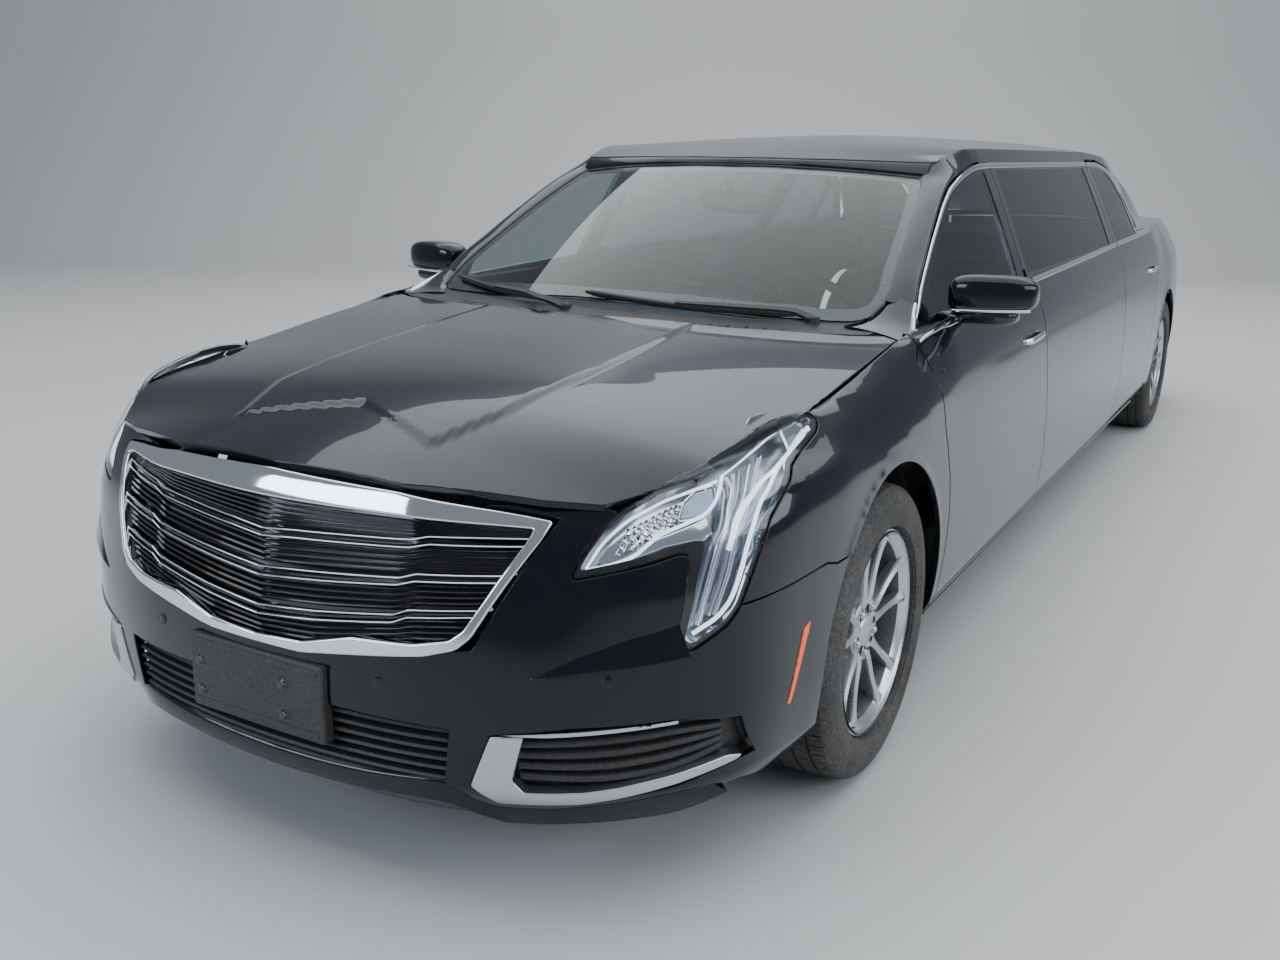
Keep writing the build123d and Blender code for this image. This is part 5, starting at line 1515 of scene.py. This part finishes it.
# Headlamps: lines are places along the nose skin and heights
LENS_LINE = [(575, 684), (600, 726), (640, 775), (690, 803), (828, 846), (1027, 884), (1180, 905),
             (1295, 913), (1366, 906), (1384, 889), (1364, 873), (1243, 834), (1150, 800), (1081, 765),
             (1020, 690), (970, 616), (929, 586), (835, 550), (808, 560), (808, 596), (841, 723),
             (815, 727)]
WINDOW_LINE = [(592, 700), (610, 728), (648, 770), (694, 795), (828, 837), (1027, 874), (1180, 895),
               (1290, 903), (1364, 900), (1372, 889), (1357, 878), (1240, 842), (1146, 808), (1074, 770),
               (1013, 697), (964, 624), (926, 595), (840, 562), (820, 570), (856, 679), (884, 745),
               (862, 748), (785, 738), (703, 721)]


def nose_line(points, out, step=10.0):
    """Line on the nose skin as points and skin directions."""
    return surface_path(nose_full, points, step, False, out, NOSE_AHEAD)


def trim_line(shape, points, width, high, out, slot=0, smooth=8.0, sink=1.5, taper=None):
    """Fine moulding along a line on the nose skin."""
    return mould(shape, nose_full, points, width, high, out, 10, slot, smooth, NOSE_AHEAD, sink, taper, 6)


def lamp_facets(shape, cell):
    """Small pyramids of the reflector, inside a cell."""
    rng = np.random.default_rng(7)
    for row in range(5):
        for col in range(9):
            u, z = 676 + col * 17 + row * 9, 733 + row * 14 + col * 4.4
            if not inside(np.array([[u, z]]), grow(cell, -6))[0]:
                continue
            p, n = lamp_path([(u, z), (u + 1, z)], 5, False, -42)
            p, n = p[0], n[0]
            e1 = unit(np.cross(n, (0, 0, 1.0)))
            e2 = np.cross(n, e1)
            turn = rng.uniform(0, 0.6)
            ring = [p + (e1 * math.cos(a + turn) + e2 * math.sin(a + turn)) * 8.5
                    for a in np.arange(4) * math.pi / 2]
            for i in range(4):
                q = [ring[i], ring[(i + 1) % 4], p + n * 9]
                normal = unit(np.cross(q[1] - q[0], q[2] - q[0]))
                if normal @ n < 0:
                    q, normal = q[::-1], -normal
                shape.add(q, [(0, 1, 2)], [[normal] * 3])
            shape.add(ring, [(3, 2, 1, 0)], [[-n] * 4])


LIGHT_GUIDES = [
    ([(1361, 884), (1287, 856), (1169, 831), (1088, 800), (1027, 749), (991, 682), (956, 630), (915, 602),
      (845, 578)], 7, 5, -14, 40, None),
    ([(1266, 851), (1112, 828), (1030, 795), (983, 765), (954, 724)], 10, 5, -16, 40,
     ([0, 0.2, 0.7, 1], [0.3, 0.7, 1.3, 0.9])),
    ([(605, 704), (645, 755), (701, 788), (795, 814), (897, 832), (985, 842)], 5, 4, -14, 30, None),
    ([(605, 701), (658, 711), (707, 725), (761, 759), (828, 774), (907, 792), (947, 811), (990, 834),
      (1010, 847)], 6.5, 4.5, -13, 22, None),
    ([(1012, 848), (1140, 872), (1280, 893)], 4, 3, -14, 0, None),
    ([(1286, 895), (1283, 874), (1279, 854)], 3, 3, -13, 0, None),
]


def build_headlamps():
    lens_line, window_line = rounded(LENS_LINE, 16), rounded(WINDOW_LINE, 12)
    cover = lamp_panel(lens_line, thick=2.5, edge=1.2, step=20, edge_step=7, out=-0.5)
    cover.both_sides().piece("lamp_covers", "shell", [lens, lens], ["headlamps"])
    frame_ring = lamp_panel(grow(lens_line, -2.0), [window_line], thick=5, edge=1.0, step=14, edge_step=7,
                            out=-5.0)
    frame_ring.both_sides().piece("lamp_housings", "shell", [lamp_black, lamp_black])
    bowl = lamp_panel(grow(window_line, 5), thick=3, edge=0.5, step=16, edge_step=8, out=-58)
    bowl.both_sides().piece("lamp_bowls", "shell", [lamp_silver, lamp_black])
    # Wall between the window's edge and the bowl, seen from both sides
    front, back = lamp_path(window_line, 9, True, -6)[0], lamp_path(window_line, 9, True, -57)[0]
    wall = Shape()
    for i in range(len(front)):
        j = (i + 1) % len(front)
        normal = unit(np.cross(front[j] - front[i], back[i] - front[i]))
        wall.add([front[i], front[j], back[j], back[i]], [(0, 1, 2, 3), (3, 2, 1, 0)],
                 [[normal] * 4, [-normal] * 4])
    wall.both_sides().piece("lamp_walls", "shell", [reflector])
    bright = Shape()
    upper = [(622, 712), (662, 763), (705, 788), (800, 811), (900, 829), (976, 838), (952, 812), (908, 795),
             (828, 777), (762, 762), (706, 729), (656, 714)]
    low = [(712, 724), (764, 757), (832, 772), (912, 790), (918, 762), (884, 748), (862, 750), (785, 740)]
    tip = [(1288, 893), (1362, 897), (1357, 882), (1284, 856), (1290, 874)]
    for line, out in ((upper, -46), (low, -30), (tip, -20)):
        lamp_panel(line, thick=4, edge=1.0, step=12, edge_step=8, out=out, shape=bright)
    lamp_facets(bright, upper)
    # Bulb lens in its six-sided cell
    cell = rounded([(827, 785), (853, 813), (902, 832), (974, 838), (958, 817), (919, 796), (871, 788)], 8)
    lamp_panel(grow(cell, 3), [cell], thick=18, edge=1.0, step=8, edge_step=6, out=-22, shape=bright)
    bright.both_sides().piece("lamp_reflectors", "shell", [reflector])
    bulb = lamp_panel(grow(cell, -1), thick=6, edge=2.5, step=8, edge_step=6, out=-24)
    bulb.both_sides().piece("lamp_bulb_lenses", "shell", [lamp_blue])
    guides = Shape()
    for line, width, high, out, smooth, taper in LIGHT_GUIDES:
        trim_line(guides, line, width, high, out, smooth=smooth, taper=taper)
    guides.both_sides().piece("lamp_light_guides", "shell", [light_white])
    ribs = Shape()
    left = [(1000, 843), (1020, 832), (978, 795), (912, 737), (878, 662), (852, 588)]
    right = [(1230, 868), (1120, 829), (1066, 795), (1010, 749), (978, 682), (930, 612)]
    for k in range(9):
        t = k / 8
        line = [(a[0] + (b[0] - a[0]) * t, a[1] + (b[1] - a[1]) * t) for a, b in zip(left, right)]
        trim_line(ribs, line, 8.5, 5, -34 + 12 * math.sin(k * 1.3), slot=k % 2, smooth=40)
    ribs.both_sides().piece("lamp_ribs", "shell", [ribbed, reflector])


# Grille with its bright surround and pairs of bright lines
GRILLE_LINES = [
    [(0, 713), (69, 720), (287, 734), (318, 742), (407, 746), (505, 749)],
    [(0, 699), (69, 706), (284, 720), (321, 729), (407, 732), (480, 735), (505, 748)],
    [(0, 641), (130, 653), (273, 666), (303, 676), (444, 684), (474, 690)],
    [(0, 624), (130, 637), (270, 653), (301, 663), (445, 672), (474, 689)],
    [(0, 566), (120, 578), (265, 598), (292, 610), (414, 621), (438, 627)],
    [(0, 548), (118, 561), (262, 583), (290, 596), (410, 609), (438, 626)],
]


def build_grille():
    outer = rounded(mirrored([(0, 822), (295, 812), (566, 776), (556, 745), (500, 640), (465, 572),
                              (440, 548), (380, 530), (231, 510), (120, 494), (0, 494)]), 10)
    inner = rounded(mirrored([(0, 772), (300, 772), (538, 762), (530, 738), (482, 645), (449, 585),
                              (424, 565), (360, 552), (231, 546), (120, 518), (0, 512)]), 8)

    def along(points):
        line = divide(points, 9)
        s = on_nose([(abs(x), z) for x, z in line])
        return [(a * (1 if p[0] >= 0 else -1), z) for (a, z), p in zip(s, line)]

    ring = nose_panel(along(outer), [along(inner)], thick=34, edge=5.0, step=12, edge_step=10, out=7)
    ring.piece("grille_surround_bright", "shell", [chrome, chrome], ["grille_surround"])
    well = nose_panel(along(grow(inner, 4)), thick=3, edge=0.5, step=30, edge_step=16, out=-34)
    well.piece("grille_back", "shell", [gloss_black, gloss_black], ["grille_bars"])
    tops = [[(0, 772), (130, 772), (273, 772), (303, 772), (444, 766), (535, 762)], *GRILLE_LINES[::2],
            [(0, 500), (120, 508), (230, 534), (300, 546), (400, 556), (440, 575)]]
    slats = Shape()
    for upper, lower in zip(tops, tops[1:]):
        up, lo = np.array(upper, float), np.array(lower, float)
        for k in range(1, 6):
            t = k / 6
            xs = np.linspace(0, 1, 24) * (up[-1, 0] * (1 - t) + lo[-1, 0] * t)
            z = np.interp(xs, up[:, 0], up[:, 1]) * (1 - t) + np.interp(xs, lo[:, 0], lo[:, 1]) * t
            p, n = nose_line(whole_line(list(zip(xs, z))), -12, 14)
            sweep(p, n, [(-3.0, -18), (3.0, -18), (3.0, -3), (0.0, 0), (-3.0, -3)], shape=slats)
    slats.piece("grille_slats", "shell", [gloss_black])
    bright = Shape()
    for half in GRILLE_LINES:
        trim_line(bright, whole_line(half), 3.6, 3.4, -6, smooth=3, sink=6)
    bright.piece("grille_bright_lines", "shell", [chrome])


def build_fogs():
    wedge = rounded([(503, 392), (560, 395), (537, 305), (556, 281), (650, 285), (700, 292), (780, 310),
                     (846, 330), (862, 322), (855, 314), (780, 288), (700, 268), (640, 256), (503, 248),
                     (462, 286)], 5)
    strip = [(545, 395), (600, 397), (690, 405), (787, 414), (787, 420), (690, 413), (600, 405), (520, 396)]
    made = nose_panel(nose_outline(wedge, 9), thick=26, edge=3.0, step=12, edge_step=9, out=4)
    nose_panel(nose_outline(strip, 9), thick=20, edge=1.6, step=9, edge_step=9, out=3, shape=made)
    made.both_sides().piece("fog_bezel_silver", "shell", [satin, satin], ["fog_bezels"])
    dark = nose_panel(nose_outline(grow(FOG_OUT, 2)), thick=3, edge=0.5, step=24, edge_step=14, out=-30)
    for k in range(4):
        t = (k + 0.7) / 4.6
        left = on_nose([(548, 290 + 100 * t), (690, 282 + 122 * t), (790, 300 + 112 * t),
                        (845, 334 + 66 * t)])
        p, n = nose_line(rounded(left, 60, closed=False), -12)
        sweep(p, n, [(-7, -16), (7, -16), (7, -6), (4, -1), (0, 0), (-4, -1), (-7, -6)], shape=dark, sharp=60)
    nose_panel(half_and_twin(grow(INTAKE, 3)), thick=3, edge=0.5, step=30, edge_step=16, out=-34, shape=dark)
    whole = dark.both_sides()
    for k in range(7):
        z = 266 + 20 * k
        half = on_nose([(x, z) for x in np.linspace(0, 408 + (z - 262) * 0.14, 14)])
        p, n = nose_line(whole_line(half), -8)
        sweep(p, n, [(-4, -24), (4, -24), (4, -4), (0, 0), (-4, -4)], shape=whole)
    whole.piece("lower_grille_mesh", "shell", [plastic, plastic], ["lower_grilles"])


# Lower nose: lines are sideways place and height on the nose skin
LIP_CREASE = [(0, 252), (120, 256), (240, 266), (366, 281), (402, 281), (434, 273), (455, 250), (478, 226),
              (590, 234), (696, 251), (784, 266), (826, 268)]
LIP_EDGE = [(0, 230), (120, 234), (279, 246), (365, 250), (399, 248), (432, 238), (460, 211), (490, 195),
            (617, 206), (711, 213), (758, 218), (832, 250)]
FOLD_UP = [(566, 506), (600, 524), (638, 546), (714, 580), (782, 602)]
FOLD_LOW = [(566, 505), (610, 514), (657, 524), (716, 531), (796, 545)]


def nose_row(points, out, count, both=True):
    """Line across the nose as points, from the right side to the left, or for one side only."""
    line = on_nose(points)
    if both:
        line = whole_line(line)
    return eased(surface_path(nose_full, line, 8, False, out, (0, -1, 0.2))[0], count)


def build_sensors():
    made = Shape()
    turns = np.linspace(0, 2 * math.pi, 25)[:-1]
    for x, z in ((290, 470), (690, 505)):
        p, n = surface_path(nose_full, on_nose([(x, z), (x, z + 1)]), 50, False, 0.3, (0, -1, 0))
        p, n = p[0], n[0]
        side = unit(np.cross(n, (0, 0, 1)))
        ring = np.cos(turns)[:, None] * side + np.sin(turns)[:, None] * np.cross(side, n)
        sweep(p + ring * 11, n, half_round(2.4, 1.2, 6, 1), closed=True, shape=made, slot=1)
        loop = p + n * 0.6 + ring * 9.6
        solid_rings([loop - n * 3, loop, p + n * 1.4 + (loop - p - n * 0.6) * 0.7,
                     p + n * 1.7 + (loop - p) * 0.05], made)
    made.both_sides().piece("parking_sensors", "shell", [paint, plastic])


def build_lower_nose():
    rows = [nose_row(LIP_CREASE, -9, 140) + (0, 0, 3), nose_row(LIP_CREASE, 1, 140),
            nose_row(LIP_EDGE, 13, 140), nose_row(LIP_EDGE, 11, 140) + (0, 0, -4),
            nose_row(LIP_EDGE, -22, 140) + (0, 0, -2)]
    quilt(rows, 3.0, facing=(0, -1, 0.5)).piece("lip_skin", "shell", [paint])
    out = np.interp(np.linspace(0, 1, 40), [0, 0.12, 1], [0.4, 5, 12])[:, None]
    up, low = nose_row(FOLD_UP, 0.6, 40, False), nose_row(FOLD_LOW, 0.6, 40, False)
    way = (nose_row(FOLD_LOW, 20.6, 40, False) - low) / 20.0
    fold = quilt([up, up * 0.5 + low * 0.5 + way * out * 0.48, low + way * out, low + way * (out - 2)
                  + (0, 0, -2.5), low - way * 4 + (0, 0, -7)], 3.0, facing=(0.3, -1, 0.4))
    fold.both_sides().piece("bumper_folds", "shell", [paint])
    build_sensors()
    marker = panel(side_skin, rounded([(-454, 533), (-481, 523), (-531, 382), (-519, 380)], 6), thick=8,
                   edge=1.5, step=14, edge_step=6, out=2.2)
    marker.both_sides().piece("side_markers", "shell", [marker_orange, marker_orange])
    plate = soft_block((-178, -1041, 320), (178, -1013, 478), 5, 3)
    for z in (336, 462):
        soft_block((-166, -1043, z - 5), (166, -1036, z + 5), 2, 2, plate)
    plate.piece("bracket_plate", "shell", [plastic], ["plate_bracket"])
    screws = Shape()
    head = [(-1047, 0), (-1046, 7.5), (-1043, 9), (-1041.5, 12), (-1039, 13)]
    for x, z in ((-150, 421), (-150, 358), (74, 422), (74, 358)):
        lathe(head, (x, 0, z), 24, screws, 0, 30, "y")
    screws.piece("bracket_screws", "shell", [gloss_black])


def solid_rings(rings, shape=None, sharp=50):
    """Closed skin through rings of points."""
    work = bmesh.new()
    table = [[work.verts.new(tuple(float(c) for c in p)) for p in ring] for ring in rings]
    k = len(table[0])
    for a, b in zip(table, table[1:]):
        for j in range(k):
            work.faces.new((a[j], a[(j + 1) % k], b[(j + 1) % k], b[j]))
    work.faces.new(table[0][::-1])
    work.faces.new(table[-1])
    work.verts.index_update()
    return add_work(work, shape or Shape(), sharp=sharp)


# Cowl and wipers
def build_cowl():
    back = eased([(0, 196, 1003), (250, 226, 1003), (450, 288, 1001), (600, 362, 998), (680, 410, 1000)], 30)
    front = eased([(0, 118, 992), (250, 138, 991), (450, 186, 986), (600, 246, 976), (716, 300, 962)], 30)
    rows = [front + (0, -8, -22), front + (0, -2, -3), front, front * 0.5 + back * 0.5 + (0, 0, -5), back,
            back + (0, 16, 4)]
    made = quilt([np.concatenate([(r * (-1, 1, 1))[::-1][:-1], r]) for r in rows], 3.0, facing=(0, -0.2, 1))
    for x in np.linspace(-640, 640, 30):
        y, z = (np.interp(abs(x), back[:, 0], back[:, i]) * 0.5
                + np.interp(abs(x), front[:, 0], front[:, i]) * 0.5 for i in (1, 2))
        soft_block((x - 15, y - 12, z - 6), (x + 15, y + 14, z - 2.5), 1.0, 1, made, 1)
    made.piece("cowl_cover", "shell", [plastic, gloss_black])
    wipers = Shape()
    for pivot, tip in ((np.array((566, 352, 1006)), -70), (np.array((-96, 206, 1006)), -640)):
        xs = np.linspace(pivot[0] - 40, tip, 26)
        blade = screen_skin(xs, np.interp(np.linspace(0, 1, 26), [0, 0.5, 1], [26, 44, 78])) + (0, -9, 7)
        sweep(blade, (0, -0.55, 0.83), [(-7, -7), (7, -7), (7, 1), (3.5, 6), (-3.5, 6), (-7, 1)],
              shape=wipers, scale=np.interp(np.linspace(0, 1, 26), [0, 0.06, 0.94, 1], [0.45, 1, 1, 0.45]))
        middle = blade[13]
        arm = eased([pivot, pivot + (-60, -20, 22), middle * 0.5 + pivot * 0.5 + (0, -14, 16),
                     middle + (0, -6, 8)], 20)
        sweep(arm, (0, -0.5, 0.85), [(-9, -4), (9, -4), (8, 4), (-8, 4)], shape=wipers, sharp=30,
              scale=np.interp(np.linspace(0, 1, 20), [0, 0.2, 1], [1.3, 1.0, 0.6]))
        lathe([(-10, 14), (6, 14), (10, 11), (12, 0)], pivot, 24, wipers, 0, 30, "z")
    wipers.piece("wiper_arms", "shell", [plastic])


def build_rockers():
    outline = [(456, 206), (3920, 206), (3920, 283), (456, 283)]
    made = panel(side_skin, outline, [side_arch(0, 3), side_arch(WHEELBASE, 3)], thick=34, step=40, edge=5,
                 edge_step=26, out=1.5)
    mould(made, side_skin, [(470, 236), (3900, 236)], 9, 5, step=60, smooth=0, out=0.5)
    made.both_sides().piece("rocker_skins", "shell", [paint, plastic])


# Cabin
def build_steering():
    tilt = math.radians(24)
    axis = np.array((0, math.cos(tilt), math.sin(tilt)))
    side, up = np.array((1.0, 0, 0)), np.array((0, -math.sin(tilt), math.cos(tilt)))
    loop = [(math.cos(a) * 180, math.sin(a) * 180, 0) for a in np.linspace(0, 2 * math.pi, 73)[:-1]]
    wheel = sweep(loop, (0, 0, 1), circle(14.5), closed=True)
    egg((0, 0, -4), (62, 54, 26), 2.8, shape=wheel, slot=1)
    for turn, size in ((math.radians(6), 20), (math.radians(174), 20), (math.radians(270), 16)):
        line = [(math.cos(turn) * r, math.sin(turn) * r, -6 + 6 * (r - 50) / 130)
                for r in np.linspace(44, 176, 10)]
        sweep(line, (0, 0, 1), [(-size, -8), (size, -8), (size * 0.8, 6), (-size * 0.8, 6)], shape=wheel,
              slot=1, sharp=30, scale=np.linspace(1.2, 0.8, 10))
    centre = np.array((372.0, 800.0, 905.0))
    wheel.laid([side, up, axis], centre).piece("steering_wheel_rim", "steering_wheel", [leather, trim],
                                               ["steering_wheel"])
    line = [centre - axis * a for a in np.linspace(40, 165, 8)]
    column = sweep(line, up, circle(36, 24, 1.15), scale=np.linspace(0.85, 1.35, 8))
    start = centre - axis * 62 + up * 4
    for sign in (-1, 1):
        sweep([start, start + side * sign * 80 - axis * 4, start + side * sign * 128 - axis * 10], up,
              circle(7, 12), shape=column, scale=[1.2, 0.9, 1.1])
    column.piece("column_cover", "shell", [plastic])


def build_dash():
    rings = []
    for x in np.concatenate([np.linspace(-690, 100, 28), np.linspace(124, 620, 32),
                             np.linspace(650, 690, 3)]):
        bump = max(0.0, math.cos(min(1.0, abs(x - 372) / 200) * math.pi / 2)) ** 0.8
        dip = 1 - min(1.0, abs(x) / 150) ** 2 if abs(x) < 150 else 0.0
        section = [(410, 612), (410, 900), (414, 946), (424, 966), (442, 979), (500, 984),
                   (560, 980 + 10 * bump), (610, 972 + 26 * bump), (655, 962 + 40 * bump),
                   (690, 950 + 42 * bump), (708, 934 + 36 * bump), (713, 918 + 20 * bump),
                   (706 - 20 * bump, 896), (702 - 26 * bump, 850), (716 + 14 * dip, 826),
                   (720 + 16 * dip, 790), (708 + 20 * dip, 730), (690 + 20 * dip, 680), (640, 630),
                   (600, 612)]
        rings.append([(x, y, z) for y, z in section])
    made = solid_rings(rings, sharp=38)
    soft_block((-110, 700, 776), (110, 733, 886), 7, 2, made, 1)
    soft_block((-92, 716, 650), (92, 738, 768), 6, 2, made, 1)
    for x in (-560, -400, 200, 545):
        soft_block((x - 55, 704, 850), (x + 55, 716, 882), 6, 2, made, 1)
    soft_block((-95, 560, 640), (95, 1240, 700), 16, 3, made)
    made.piece("dashboard_skin", "shell", [dash_trim, gloss_black], ["dashboard"])
    build_steering()
    mirror = egg((0, 1052, 1262), (122, 20, 34), 3.4, ((1, 0, 0), (0, 0.97, -0.24), (0, 0.24, 0.97)))
    sweep([(0, 1040, 1268), (0, 1020, 1300), (0, 1002, 1326)], (0, -1, 0.3), circle(9, 12), shape=mirror,
          scale=[1.0, 1.0, 1.8])
    mirror.piece("cabin_mirror", "shell", [plastic])


# Seats: each is a closed form a little smaller than its place, swollen like a stuffed cushion;
# lengths of the meshes and channels are in metres here
PRESSURE, CLOTH_FRAMES, CHANNEL_WIDE = 4.0, 20, 0.009


def swell(piece, voxel, cap, flutes):
    """Remeshes a piece, blows it up as cloth within a cap, and presses sewn channels into it."""
    remesh = piece.modifiers.new("remesh", "REMESH")
    remesh.mode = "VOXEL"
    remesh.voxel_size = voxel

    def apply():
        bpy.context.view_layer.update()
        graph = bpy.context.evaluated_depsgraph_get()
        mesh = bpy.data.meshes.new_from_object(piece.evaluated_get(graph))
        piece.modifiers.clear()
        piece.data = mesh
        return mesh

    def read(mesh):
        flat = np.empty(len(mesh.vertices) * 3)
        mesh.vertices.foreach_get("co", flat)
        return flat.reshape(-1, 3)

    mesh = apply()
    before = read(mesh)
    cloth = piece.modifiers.new("cloth", "CLOTH")
    cloth.settings.use_pressure = True
    cloth.settings.uniform_pressure_force = PRESSURE
    cloth.settings.effector_weights.gravity = 0.0
    scene = bpy.context.scene
    for number in range(1, CLOTH_FRAMES + 1):
        scene.frame_set(number)
    mesh = apply()
    scene.frame_set(1)
    after = read(mesh)
    move = after - before
    size = np.maximum(np.linalg.norm(move, axis=1), 1e-9)
    after = before + move * np.minimum(1.0, cap / size)[:, None]
    mesh.vertices.foreach_set("co", after.ravel())
    smooth = piece.modifiers.new("smooth", "SUBSURF")
    smooth.levels = 1
    mesh = apply()
    points = read(mesh)
    normal = np.empty(len(points) * 3)
    mesh.vertex_normals.foreach_get("vector", normal)
    normal = normal.reshape(-1, 3)
    points = points - normal * flutes(points, normal)[:, None]
    mesh.vertices.foreach_set("co", points.ravel())
    mesh.polygons.foreach_set("use_smooth", [True] * len(mesh.polygons))


def channels(axis, spacing, depth, reach):
    """Sewn channels across one axis, on the faces that look up or forward."""
    def press(points, normal):
        away = (points[:, axis] + spacing / 2) % spacing - spacing / 2
        shown = np.clip(np.maximum(normal[:, 2], -normal[:, 1]) * 1.6 - 0.5, 0, 1)
        inner = np.abs(points[:, axis] - reach[0]) < reach[1]
        return depth * np.exp(-(away / CHANNEL_WIDE) ** 2) * shown * inner
    return press


def build_seats():
    for side, sign in (("left", 1), ("right", -1)):
        seat = side_block((142, 992, 312), (638, 1470, 440), sign, 46, 5, Shape())
        side_block((215, 1060, 224), (565, 1430, 330), sign, 14, 2, seat)
        side_block((158, 1438, 380), (622, 1556, 950), sign, 40, 5, seat, 0.2)
        side_block((292, 1626, 950), (488, 1706, 1108), sign, 34, 5, seat)
        made = seat.piece("front_seat_" + side, "shell", [leather], ["front_seats"])
        swell(made, 0.017, 0.012, channels(0, spacing=0.09, depth=0.006, reach=(sign * 0.39, 0.15)))
    bench = soft_block((-630, 3342, 224), (630, 3880, 436), 50, 5)
    side_block((-630, 3800, 420), (630, 3905, 925), 1, 40, 5, bench, 0.2)
    made = bench.piece("rear_bench_seat", "shell", [leather], ["rear_bench"])
    swell(made, 0.022, 0.012, channels(0, spacing=0.14, depth=0.007, reach=(0.0, 0.56)))
    bench = soft_block((-652, 1862, 224), (-310, 2988, 430), 46, 5)
    soft_block((-742, 1862, 420), (-648, 2988, 888), 34, 5, bench)
    made = bench.piece("side_bench_seat", "shell", [leather], ["side_bench"])
    swell(made, 0.022, 0.010, channels(1, spacing=0.16, depth=0.007, reach=(0.065, 0.5)))


place_camera()
build_studio()
# Materials of the CAD nodes
for material, names in (
    (steel, "underbody bulkhead frame_rails boot_floor exhaust door_hinges"),
    (plastic, "wheelhouses lower_grilles plate_bracket cowl"),
    (chrome, "grille_surround"),
    (gloss_black, "grille_bars"),
    (satin, "fog_bezels"),
    (lens, "headlamps"),
    (paint, "a_pillars hood trunk_lid front_fenders front_bumper front_door_left front_door_right"),
    (paint, "rear_door_left rear_door_right centre_panels quarter_panels rear_bumper"),
    (screen_glass, "windshield"),
    (dark_glass, "centre_glass rear_window front_door_glass_left front_door_glass_right"),
    (dark_glass, "rear_door_glass_left rear_door_glass_right"),
    (trim, "rear_shelf dashboard"),
    (tail_red, "tail_lamps"),
    (leather, "front_seats side_bench rear_bench steering_wheel"),
    (iron, "engine_block front_suspension rear_axle knuckle_left knuckle_right"),
    (silver, "rim_front_left rim_front_right rim_rear_left rim_rear_right"),
    (rubber, "tyre_front_left tyre_front_right tyre_rear_left tyre_rear_right"),
    (roof_paint, "roof"),
):
    for name in names.split():
        mesh = nodes[name].data
        mesh.materials.clear()
        mesh.materials.append(material)

build_front_fenders()
build_front_bumper()
build_hood()
build_doors()
build_middle()
build_roof()
build_quarters()
build_rear()
build_wheels()
build_rockers()
build_lower_nose()
build_cowl()
build_dash()
build_hinges()
build_boot()
build_seats()
build_pillars()
build_side_glass()
build_screens()
build_bright_trim()
build_mirrors()
build_handles()
build_headlamps()
build_grille()
build_fogs()
